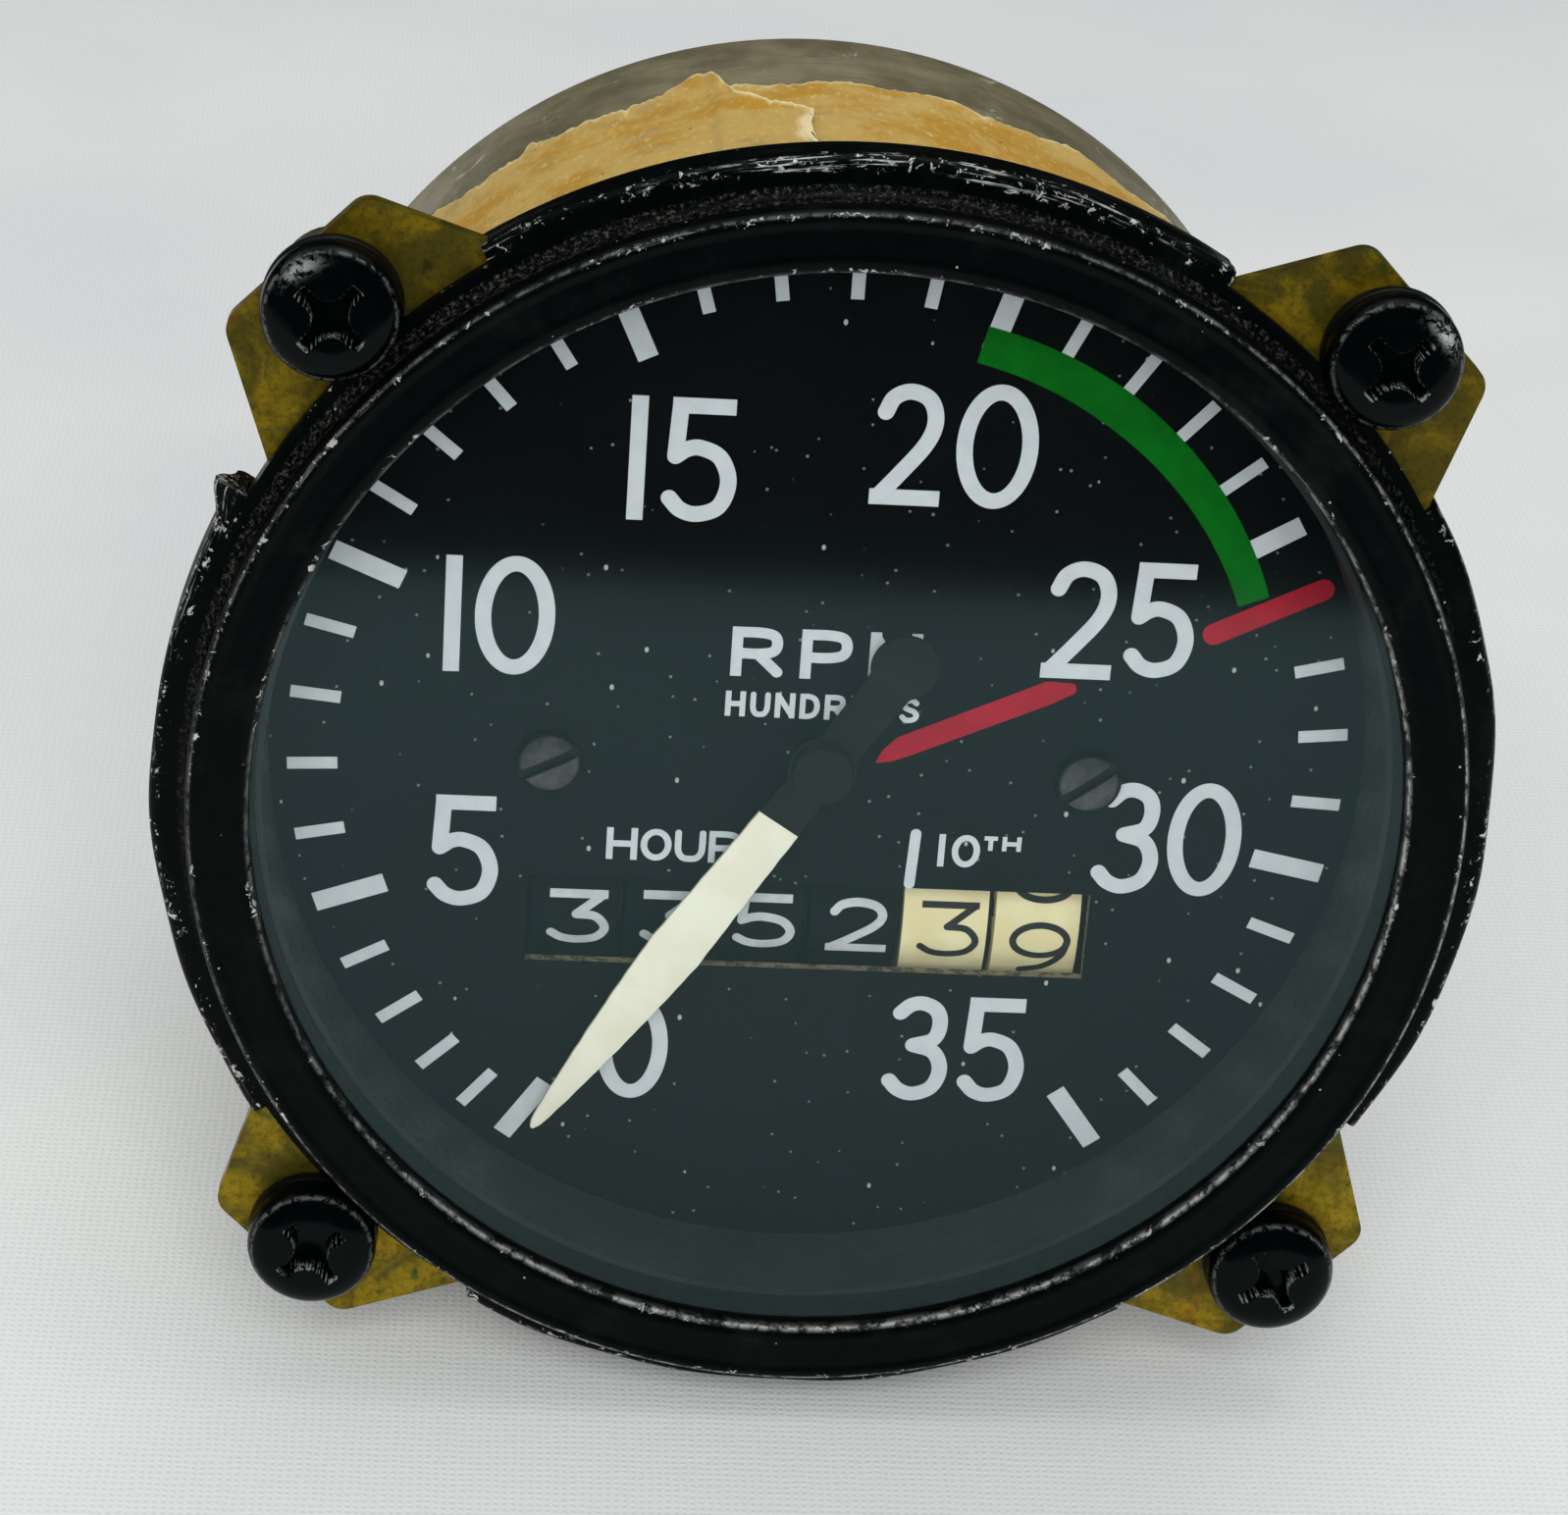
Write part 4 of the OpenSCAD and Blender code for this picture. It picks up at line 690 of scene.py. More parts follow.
dialMarks = {
    "face": 7.2,                 # depth of the dial's face behind the panel plane, mm
    "lift": 0.025,
    "thickness": 0.045,
    "tickOuter": 34.1,
    "minorInner": 30.9,
    "minorWidth": 0.82,
    "majorInner": 29.3,
    "majorWidth": 1.32,
    "firstAngles": [214.7, 220.7, 227.3, 234.6, 242.45, 250.5],   # the scale opens out from 0 to 5
    "evenStep": 8.43,
    "lastMark": 35,
    "coveredMark": 26,           # the red line is painted over this one
    "numeralStroke": 1.03,
    "numerals": [                # glyph, left, right, bottom, top
        ("1", -13.35, -12.3, 15.96, 24.11), ("5", -11.25, -6.59, 16.0, 24.11),
        ("2", 1.64, 6.12, 17.7, 25.68), ("0", 6.92, 12.05, 17.72, 25.9),
        ("1", -24.4, -23.35, 5.23, 13.08), ("0", -22.49, -17.44, 5.16, 13.2),
        ("2", 13.5, 18.09, 6.45, 14.48), ("5", 18.79, 23.2, 6.75, 14.59),
        ("3", 18.22, 22.58, -8.63, -0.68), ("0", 23.04, 27.88, -8.63, -0.49),
        ("5", -24.94, -20.37, -11.24, -3.38),
        ("3", 5.7, 10.05, -24.56, -16.74), ("5", 10.77, 15.19, -24.47, -16.67),
        ("0", -13.4, -8.68, -25.07, -17.25)],
    "legends": [                 # text, left, right, bottom, top, stroke, letter gap
        ("RPM", -6.21, 5.9, 5.7, 9.07, 0.7, 1.1),
        ("HUNDREDS", -6.38, 6.1, 2.92, 4.65, 0.36, 0.3),
        ("HOURS", -13.46, -2.5, -7.5, -5.24, 0.43, 0.2),
        ("10", 7.94, 10.84, -7.16, -4.84, 0.42, 0.3),
        ("TH", 11.06, 13.5, -5.9, -4.87, 0.3, 0.32)],
    "letterShares": {"M": 1.06, "P": 1.04, "1": 0.45, "0": 1.1, "R": 1.06, "T": 0.7},
    "divider": [(6.4, -8.5), (6.56, -4.9)],
    "dividerWidth": 0.7,
}


def onDial(across, up, height):
    return np.stack([across, np.full_like(across, dialMarks["face"] - height), up], axis=-1)


def dialStroke(path, width, lift=0.0, roundEnds=True):
    sides = strokeSides(path, width, roundEnds=roundEnds)
    level = dialMarks["lift"] + lift
    return slabShell(*sides, onDial, level - dialMarks["thickness"], level)


firstAngles = dialMarks["firstAngles"]
evenMarks = np.arange(1, dialMarks["lastMark"] - len(firstAngles) + 2)
tickAngles = np.concatenate([firstAngles, firstAngles[-1] + dialMarks["evenStep"] * evenMarks])
tickShells = []
for number, angle in enumerate(tickAngles):
    if number == dialMarks["coveredMark"]:
        continue
    kind = "major" if number % 5 == 0 else "minor"
    reach = np.linspace(dialMarks[kind + "Inner"], dialMarks["tickOuter"], 4)
    line = np.stack(clockPoint(reach, angle), axis=-1)
    tickShells.append(dialStroke(line, dialMarks[kind + "Width"], roundEnds=False))
addPiece("dial_ticks", tickShells, "markPaint", "case")

numeralShells = []
for glyph, *box in dialMarks["numerals"]:
    numeralShells += glyphShells(glyph, box, dialMarks["numeralStroke"], onDial, dialMarks["lift"],
                                 dialMarks["thickness"])
addPiece("dial_numerals", numeralShells, "markPaint", "case")

legendShells = [dialStroke(np.linspace(*dialMarks["divider"], 6), dialMarks["dividerWidth"])]
for text, left, right, bottom, top, width, gap in dialMarks["legends"]:
    shares = np.array([dialMarks["letterShares"].get(letter, 1.0) for letter in text])
    widths = shares / shares.sum() * (right - left - gap * (len(text) - 1))
    starts = left + np.cumsum(widths + gap) - widths - gap
    for letter, start, letterWidth in zip(text, starts, widths):
        box = (start, start + letterWidth, bottom, top)
        legendShells += glyphShells(letter, box, width, onDial, dialMarks["lift"], dialMarks["thickness"])
addPiece("dial_legends", legendShells, "markPaint", "case")

# Limit lines painted over the scale: a red line in two runs, and a green band that narrows to its end
limitLines = {
    "redOuter": [(24.45, 9.92), (31.1, 13.25)],
    "redInner": [(3.62, 0.12), (4.2, 0.56), (5.2, 1.24), (14.3, 5.42), (15.6, 5.72)],
    "redInnerWidths": [0.16, 0.95, 1.5, 1.6, 0.85],
    "redWidth": 1.45,
    "greenAngles": (15.7, 34, 65.4),    # start, middle and end
    "greenRadii": (29.52, 29.84, 29.42),
    "greenWidths": (2.42, 2.52, 2.06),
    "lift": 0.03,
}
redKnots = np.arange(len(limitLines["redInner"]))
redSteps = np.linspace(0, redKnots[-1], 33)
redColumns = np.transpose(limitLines["redInner"])
redPath = np.stack([np.interp(redSteps, redKnots, column) for column in redColumns], axis=-1)
redTaper = np.interp(redSteps, redKnots, limitLines["redInnerWidths"])
redInner = dialStroke(redPath, redTaper, limitLines["lift"])
redOuter = dialStroke(np.linspace(*limitLines["redOuter"], 12), limitLines["redWidth"], limitLines["lift"])
addPiece("red_line", [redInner, redOuter], "redPaint", "case")

greenAngles = np.linspace(limitLines["greenAngles"][0], limitLines["greenAngles"][-1], 60)
greenCurve = np.polyfit(limitLines["greenAngles"], limitLines["greenRadii"], 2)
greenPath = np.stack(clockPoint(np.polyval(greenCurve, greenAngles), greenAngles), axis=-1)
greenWidths = np.interp(greenAngles, limitLines["greenAngles"], limitLines["greenWidths"])
greenBand = dialStroke(greenPath, greenWidths, limitLines["lift"], roundEnds=False)
addPiece("green_band", [greenBand], "greenPaint", "case")
print("dial marks painted:", len(tickShells), "ticks")

# Counter numbers: ten digits round each drum, bent on its rim
counterLook = {
    "axisDepth": 17.3,
    "axisHeight": -11.92662,
    "drumRadius": 8.8,
    "pitch": 6.12,
    "digitHeights": {"black": 4.05, "cream": 4.2},
    "digitWidth": 4.1,
    "digitShift": 0.3,           # the digits stand a little to the right on their drums
    "strokes": {"black": 0.6, "cream": 0.47},
    "inks": {"black": ("digitGrey", "drum_cream"), "cream": ("digitDark", "drum_black")},   # finish and slot
    "lift": 0.03,
    "thickness": 0.06,
    "drums": [                   # body, node, digit shown, colours
        ("thousands_unit", "drum_thousands", 2.9, "black"), ("hundreds_unit", "drum_hundreds", 2.92, "black"),
        ("tens_unit", "drum_tens", 4.93, "black"), ("units_unit", "drum_units", 1.92, "black"),
        ("tenths_unit", "drum_tenths", 2.9, "cream"), ("hundredths_unit", "drum_hundredths", 8.68, "cream")],
}


def onDrum(turnAngle):
    # across stays along the axle; up runs round the rim from the given angle above the front
    def place(across, up, height):
        angle = turnAngle + up / counterLook["drumRadius"]
        radius = counterLook["drumRadius"] + height
        return np.stack([across, counterLook["axisDepth"] - radius * np.cos(angle),
                         counterLook["axisHeight"] + radius * np.sin(angle)], axis=-1)
    return place


drumsLeft = -len(counterLook["drums"]) * counterLook["pitch"] / 2
for index, (body, node, shown, colour) in enumerate(counterLook["drums"]):
    middle = drumsLeft + (index + 0.5) * counterLook["pitch"] + counterLook["digitShift"]
    halfWidth = counterLook["digitWidth"] / 2
    halfHeight = counterLook["digitHeights"][colour] / 2
    box = (middle - halfWidth, middle + halfWidth, -halfHeight, halfHeight)
    digitShells = []
    for digit in range(10):
        glyph = "flat3" if digit == 3 else str(digit)
        place = onDrum(math.radians(36 * (shown - digit)))
        digitShells += glyphShells(glyph, box, counterLook["strokes"][colour], place, counterLook["lift"],
                                   counterLook["thickness"])
    ink, inkSlot = counterLook["inks"][colour]
    addPiece(node + "_digits", digitShells, ink, body)
print("counter drums numbered:", len(counterLook["drums"]))

# Pointer: a flat sheet with rounded edges, cream on the blade and black on the hub and tail
pointerLook = {
    "rest": 213.2,
    "frontDepth": 5.6,
    "thickness": 0.35,
    "bladeFrom": 4.6,
    "bladeReach": [4.6, 8, 12, 16, 20, 24, 28, 30.4, 31.5, 31.9],
    "bladeHalf": [1.56, 1.62, 1.74, 1.85, 1.6, 1.26, 0.84, 0.55, 0.36, 0.12],
    "bladeRise": 0.02,           # the cream paint stands this far above the black part
    "neckHalf": 1.42,
    "hubRadius": 2.2,
    "tailAt": 8.7,
    "tailRadius": 2.2,
    "tailHalf": 1.6,
    "edgeRound": 0.1,
    "capRadius": 2.05,
    "capHeight": 0.9,
    "capRound": 0.3,
}


def onPointer(across, along, height):
    # along runs from the staff to the tip at the resting angle
    angle = math.radians(pointerLook["rest"])
    x = along * math.sin(angle) + across * math.cos(angle)
    z = along * math.cos(angle) - across * math.sin(angle)
    return np.stack([x, np.full_like(x, pointerLook["frontDepth"] - height), z], axis=-1)


def sheetShell(halfWidths, along, raised=0.0):
    # rows along the pointer; each section is a flat strip with its edges rounded over
    edge = pointerLook["edgeRound"]
    thick = pointerLook["thickness"]
    inset = np.array([1, 0.3, 0, 0, 0.3, 1]) * edge
    level = raised - np.array([0, 0.3 * edge, edge, thick - edge, thick - 0.3 * edge, thick])
    rim = np.maximum(halfWidths[:, None] - inset, 0.02)
    right = [onPointer(rim[:, k], along, level[k]) for k in range(6)]
    left = [onPointer(-rim[:, k], along, level[k]) for k in reversed(range(6))]
    return tubeShell(np.stack(right + left, axis=1), False)


bladeAlong = np.linspace(pointerLook["bladeFrom"], pointerLook["bladeReach"][-1], 110)
bladeHalf = np.interp(bladeAlong, pointerLook["bladeReach"], pointerLook["bladeHalf"])
bladeHalf = bladeHalf + 0.02 * np.sin(3.1 * bladeAlong) * np.sin(0.7 * bladeAlong)   # brushed paint edge
blade = sheetShell(bladeHalf, bladeAlong, pointerLook["bladeRise"])
addPiece("pointer_blade", [blade], "pointerCream", "pointer_unit")


def tailOutline():
    # half width along the black part: round tail, waist, hub disc and neck, whichever is widest
    look = pointerLook
    tailEnd = look["tailAt"] + look["tailRadius"]
    along = -tailEnd * np.cos(np.linspace(0, np.pi / 2, 60)) - 0.002
    along = np.concatenate([along, np.linspace(0.05, look["bladeFrom"], 40)])
    tail = np.sqrt(np.maximum(look["tailRadius"] ** 2 - (along + look["tailAt"]) ** 2, 0))
    hub = np.sqrt(np.maximum(look["hubRadius"] ** 2 - along ** 2, 0))
    waistKnots = [-look["tailAt"], 0, look["bladeFrom"]]
    waistHalves = [look["tailHalf"], look["neckHalf"], look["bladeHalf"][0]]
    waist = np.where(along > waistKnots[0], np.interp(along, waistKnots, waistHalves), 0)
    return np.maximum.reduce([tail, hub, waist, np.full_like(along, 0.05)]), along


def hubCapShell():
    # flat cap over the end of the staff, with a rounded edge, turned about the dial axis
    look = pointerLook
    face = look["capHeight"] - look["frontDepth"]
    rimAt = (look["capRadius"] - look["capRound"], face - look["capRound"])
    rim = arcPoints(rimAt, look["capRound"], 0, 90, 8)
    foot = [(look["capRadius"], -look["frontDepth"] - 0.1)]
    return spunShell(np.concatenate([foot, rim, [(0.2, face)]]), 64)


tailShells = [sheetShell(*tailOutline()), hubCapShell()]
addPiece("pointer_tail", tailShells, "pointerBlack", "pointer_unit", ("pointer",))
print("pointer made")

# Bezel: a turned ring with a rounded lip, and four lengths of rolled skirt between the lugs
bezelLook = {
    "lipRadius": 35.75,
    "glassFront": 2.9,
    "front": 4.0,
    "lipRound": 0.95,
    "lipHeight": 0.7,
    "faceFrom": 36.9,
    "faceGap": 0.45,             # from the flat face to the middle of the crown
    "faceDrop": 0.05,
    "ringRadius": 39.65,
    "crown": 0.6,
    "crestBead": 0.09,           # the crest stands a little above the flat face
    "wallHeights": (3.2, 1.9),
    "cove": 0.9,
    "shoulder": 0.855,
    "back": 0.03,
    "boreRadius": 38.75,
    "notchRadius": 41.05,
    "skirtRadius": 42.0,
    "skirtBore": 41.1,
    "seam": 40.95,               # radius where the skirt starts on the ring
    "dents": [(0.07, 11, 20), (0.06, 23, 70)],    # depth, waves in a turn and phase
    "roll": 0.7,
    "crimpRadius": 40.3,
    "crimpBack": -3.07,
    "flangeBack": -1.9,
    "skirts": [(-33, 31), (58.4, 120.4), (148.4, 210.6), (237.4, 298)],   # clockwise from twelve
    "hornReach": 1.1,            # the corner of the last skirt is bent outwards
    "hornSpan": 4.5,
    "rubbedAt": 82,              # clock angles where the ring and the skirt have lost most paint
    "rubbedSpan": 16,
    "scouredAt": -6,
    "scouredSpan": 24,
    "linedAt": 140,              # the edges carry thin bright lines, strongest on this side
    "crestWear": (39.35, 0.3),   # radius and width of the worn bands and of the bright lines
    "lipWear": (35.95, 0.3),
    "crestLine": (39.42, 0.07),
    "lipLine": (35.88, 0.09),
    "crestFrom": 3.2,            # heights from which a point counts as crest or lip
    "lipFrom": 3.0,
    "gritRadii": (39.6, 40.35),
}


def sectionRun(profile):
    # running length along a section, in metres
    steps = np.linalg.norm(np.diff(profile, axis=0), axis=1)
    return np.concatenate([[0], np.cumsum(steps)]) * mm


def bezelRingShell():
    look = bezelLook
    lip = np.radians(np.linspace(180, 90, 10))
    lipArc = np.stack([look["lipRadius"] + look["lipRound"] * (1 + np.cos(lip)),
                       look["front"] - look["lipHeight"] * (1 - np.sin(lip))], axis=-1)
    crownAt = (look["ringRadius"] - look["crown"], look["front"] - look["crown"] + look["crestBead"])
    face = np.stack([np.linspace(look["faceFrom"], crownAt[0] - look["faceGap"], 10),
                     np.full(10, look["front"] - look["faceDrop"])], axis=-1)
    crown = arcPoints(crownAt, look["crown"], 110, 0, 10)
    wall = np.stack([np.full(6, look["ringRadius"]), np.linspace(*look["wallHeights"], 6)], axis=-1)
    coveAt = (look["ringRadius"] + look["cove"], look["shoulder"] + look["cove"])
    cove = arcPoints(coveAt, look["cove"], 180, 270, 8)
    rear = np.array([(look["notchRadius"], look["shoulder"]), (look["notchRadius"], look["back"]),
                     (look["boreRadius"], look["back"]), (look["boreRadius"], look["glassFront"]),
                     (look["lipRadius"], look["glassFront"])])
    profile = np.concatenate([lipArc, face, crown, wall, cove, rear])
    radius, height = profile.T
    angles = turnAngles(256)
    shape = (len(angles), len(profile))
    rubbed = 0.35 * bump(np.degrees(angles), look["rubbedAt"], look["rubbedSpan"])
    onCrest = height > look["crestFrom"]
    onLip = height > look["lipFrom"]
    crest = bump(radius, *look["crestWear"]) * onCrest
    lipEdge = bump(radius, *look["lipWear"]) * onLip
    shelf = smoothStep(40.4, 41.0, radius) * (height < 1.0)
    wear = (0.85 + rubbed)[:, None] * (crest + 1.2 * lipEdge) + 0.2 * (height > 3.9) + 0.8 * shelf
    lined = 0.2 + 0.5 * smoothStep(-0.5, 0.7, np.cos(angles - math.radians(look["linedAt"])))
    lines = bump(radius, *look["crestLine"]) * onCrest + bump(radius, *look["lipLine"]) * onLip
    gathered = smoothStep(-0.2, 0.9, np.cos(angles + 0.35))      # grit lies in the upper left
    gritFrom, gritTo = look["gritRadii"]
    dust = gathered[:, None] * ((radius > gritFrom) & (radius < gritTo) & (height < 2.4))
    marks = {"wear": wear, "edge": lined[:, None] * lines, "dust": dust,
             "across": np.broadcast_to(sectionRun(profile), shape)}
    return tubeShell(turned(profile, angles), True), marks


def bezelSkirtShell(start, end, bentEnd):
    look = bezelLook
    outer = look["skirtRadius"] - look["roll"]
    front = np.array([(look["seam"], look["shoulder"] - 0.012)])
    frontRoll = arcPoints((outer, look["shoulder"] - look["roll"]), look["roll"], 90, 0, 7)
    side = np.stack([np.full(8, look["skirtRadius"]), np.linspace(0.0, -2.2, 8)], axis=-1)
    rearRoll = arcPoints((outer, look["crimpBack"] + look["roll"]), look["roll"], 0, -90, 7)
    flangeSide = look["flangeBack"] - 0.02
    inside = np.array([(look["crimpRadius"], look["crimpBack"] + 0.2), (look["crimpRadius"], flangeSide),
                       (look["skirtBore"], flangeSide), (look["skirtBore"], 0.0), (look["seam"], 0.0)])
    profile = np.concatenate([front, frontRoll, side, rearRoll, inside])
    degrees = np.linspace(start, end, int((end - start) * 2))
    radius = np.broadcast_to(profile[:, 0], (len(degrees), len(profile))).copy()
    height = np.broadcast_to(profile[:, 1], radius.shape).copy()
    rim = np.clip((radius - 41.0) / 0.9, 0, 1)
    dents = sum(deep * np.sin(np.radians(degrees * waves + phase)) for deep, waves, phase in look["dents"])
    radius += rim * dents[:, None] * (height > -1)
    if bentEnd:
        bent = smoothStep(end - look["hornSpan"], end, degrees) ** 2
        radius += look["hornReach"] * rim * bent[:, None] * smoothStep(-2.4, 0.2, height)
    nearEnd = np.exp(-np.minimum(degrees - start, end - degrees) / 0.8)
    scoured = 0.55 * bump(degrees, look["scouredAt"], look["scouredSpan"])
    roll = smoothStep(40.6, 41.2, radius) * np.exp(-np.minimum(height - look["shoulder"], 0) ** 2)
    wear = (0.7 + scoured)[:, None] * roll + 0.45 * rim + nearEnd[:, None] * 0.5
    lined = smoothStep(-0.3, 0.7, np.cos(np.radians(degrees - look["linedAt"])))
    edge = 0.7 * lined[:, None] * bump(height, 0.42, 0.1) * (radius > 41.4)
    marks = {"wear": wear, "edge": edge, "dust": np.zeros_like(wear),
             "across": np.broadcast_to(sectionRun(profile), radius.shape)}
    points = turned(np.stack([radius, height], axis=-1), np.radians(degrees))
    return tubeShell(points, False), marks


bezelParts = [bezelRingShell()]
for start, end in bezelLook["skirts"]:
    bezelParts.append(bezelSkirtShell(start, end, end == bezelLook["skirts"][-1][1]))
bezelMarks = {key: np.concatenate([marks[key].ravel() for shell, marks in bezelParts])
              for key in ("wear", "edge", "dust", "across")}
bezelShells = [shell for shell, marks in bezelParts]
addPiece("bezel_ring", bezelShells, "blackPaint", "case", ("bezel",), 40, bezelMarks)
print("bezel made:", len(bezelLook["skirts"]), "skirts")

# Case can: drawn cup with a rounded rear edge and a front flange
canLook = {
    "radius": 36.8,
    "wall": 0.7,
    "rear": -52.0,
    "corner": 3.0,
    "sideFront": -2.4,
    "flangeRadius": 40.8,
    "flangeBack": -1.9,
    "flangeFront": -1.22,
    "stemHole": 11.2,
}


def canShell():
    look = canLook
    cornerAt = (look["radius"] - look["corner"], look["rear"] + look["corner"])
    rear = np.stack([np.linspace(look["stemHole"], cornerAt[0] - 1, 24), np.full(24, look["rear"])], axis=-1)
    outer = arcPoints(cornerAt, look["corner"], -90, 0, 14)
    sideHeights = np.linspace(cornerAt[1] + 1, look["sideFront"], 40)
    side = np.stack([np.full(40, look["radius"]), sideHeights], axis=-1)
    flange = np.array([(look["radius"], look["flangeBack"]), (look["flangeRadius"], look["flangeBack"]),
                       (look["flangeRadius"], look["flangeFront"]),
                       (look["radius"] - look["wall"], look["flangeFront"])])
    inner = arcPoints(cornerAt, look["corner"] - look["wall"], 0, -90, 10)
    floor = np.array([(look["stemHole"], look["rear"] + look["wall"])])
    profile = np.concatenate([rear, outer, side, flange, inner, floor])
    return tubeShell(turned(profile, turnAngles(220)), True)


addPiece("can_shell", [canShell()], "canMetal", "case", ("case_can",))
print("can made")

# Paper tape: two thin wrinkled layers round the top of the can with torn rear edges; the left one laps over
tapeLook = {
    "rows": 300,
    "inner": 36.81,
    "thickness": 0.2,
    "frontDepth": 3.75,
    "fray": 0.3,
    "curl": 0.3,                 # height of the curled edges
    "wrinkles": [                # height, and waves by depth and by angle
        (0.05, 0.55, 0.21), (0.05, 0.33, -0.37), (0.035, 0.8, 1.3)],
    "lapFrom": -12,              # clock angle where the lower layer starts
    "layers": [                  # clock angles and depths of each layer's torn edge, and whether it laps over
        ([-12, -9.8, -4.5, -0.1, 3.4, 7.1, 10.7, 13.3, 16, 22.1, 26.3, 29.7, 34.1, 37.7, 42.1, 58, 72],
         [36.0, 36.1, 36.3, 36.0, 36.1, 36.5, 36.6, 35.6, 34.7, 35.9, 36.6, 37.0, 36.5, 36.3, 37.8,
          39, 39], False),
        ([-72, -57, -44.9, -38.5, -34.2, -32.7, -30.2, -25.3, -22.5, -19.7, -15.9, -14.5, -12.7, -11.1,
          -10.2, -7.7, -5.2, -3.6, -3.4],
         [39, 40, 38.3, 36.0, 36.3, 38.8, 37.6, 36.4, 36.1, 37.3, 39.2, 41.0, 39.7, 36.1,
          32.5, 29.6, 28.6, 27.0, 20.7], True)],
}


def tapeShell(tearAngles, tearDepths, lapsOver, seed):
    look = tapeLook
    degrees = np.linspace(tearAngles[0], tearAngles[-1], look["rows"])
    jitter = np.random.default_rng(seed).normal(0, 1, look["rows"])
    jitter = np.convolve(jitter, [0.25, 0.5, 0.25], "same")
    tear = np.interp(degrees, tearAngles, tearDepths) + look["fray"] * jitter
    share = 1 - np.linspace(1, 0, 30) ** 1.6
    depth = look["frontDepth"] + (tear[:, None] - look["frontDepth"]) * share
    column = degrees[:, None]
    toEnd = (tearAngles[-1] - column if lapsOver else column - tearAngles[0]) * math.radians(look["inner"])
    sway = np.exp(-toEnd / 4) * (0.8 * np.sin(0.5 * depth) + 0.3 * np.sin(1.7 * depth + 1)) * lapsOver
    column = column + sway                       # the lapping end is torn unevenly
    toEdge = np.minimum(tear[:, None] - depth, toEnd + 0.02)
    wrinkle = sum(high * np.sin(along * depth + about * column) for high, along, about in look["wrinkles"])
    curl = look["curl"] * np.exp(-toEdge / 1.6) * (0.5 + 0.5 * np.sin(0.5 * column + 1.1))
    lapFrom = look["lapFrom"]
    curl = curl + look["curl"] * np.exp(-toEdge / 0.8) * smoothStep(lapFrom, lapFrom + 3, column) * lapsOver
    lap = 1.9 * look["thickness"] * smoothStep(lapFrom - 1.5, lapFrom, column) if lapsOver else 0
    outer = look["inner"] + lap + look["thickness"] + np.abs(wrinkle) + curl
    outer = outer - 0.8 * look["thickness"] * np.exp(-toEdge / 0.35)
    inner = np.full_like(outer, look["inner"]) + lap + 0.6 * curl
    radius = np.concatenate([outer, inner[:, ::-1]], axis=1)
    torn = np.clip(1 - toEdge / (0.6 + 0.5 * np.abs(jitter[:, None])), 0, 1)
    depth, torn, column = (np.concatenate([part, part[:, ::-1]], axis=1) for part in (depth, torn, column))
    angle = np.radians(column)
    points = np.stack([radius * np.sin(angle), depth, radius * np.cos(angle)], axis=-1)
    return tubeShell(points, False), torn


tapeLayers = [tapeShell(*layer, seed) for seed, layer in enumerate(tapeLook["layers"], 7)]
tapeShells = [shell for shell, torn in tapeLayers]
tapeMarks = {"torn": np.concatenate([torn.ravel() for shell, torn in tapeLayers])}
addPiece("tape_sheet", tapeShells, "tapePaper", "case", ("paper_tape",), 60, tapeMarks)
print("tape made:", len(tapeLayers), "layers")

# Fixing screws: domed pan heads with a cross recess, threaded shanks, and washers under the heads
screwLook = {
    "circle": 44.45,
    "screws": [                       # clock angle, turn of the recess, side and strength of the worn spot
        (45, 43, 50, 0.8), (135, 58, 0, 0.0), (225, 52, 0, 0.0), (315, 41, -33, 0.5)],
    "headRadius": 4.15,
    "headHeight": 2.6,
    "rimShare": 0.45,                 # share of the height that is rim, and of the radius that is flat
    "flatShare": 0.45,
    # pale ring near the rim: worn edge and painted highlight
    "rimWearAndGlint": 0.15,
    "seat": 1.0,
    "recessWaist": 0.76,
    "wingHalf": 0.4,
    "wingReach": 2.5,
    "recess": 1.75,
    "scuffRadius": 3.4,
    "scuffWidth": 0.36,
    "scuffSpan": 17,                  # degrees round the head
    "shankRadius": 2.08,
    "shankEnd": -8.5,
    "threadPitch": 0.79,
    "threadDepth": 0.24,
    "washerRadius": 4.2,
    "washerHole": 2.2,
}


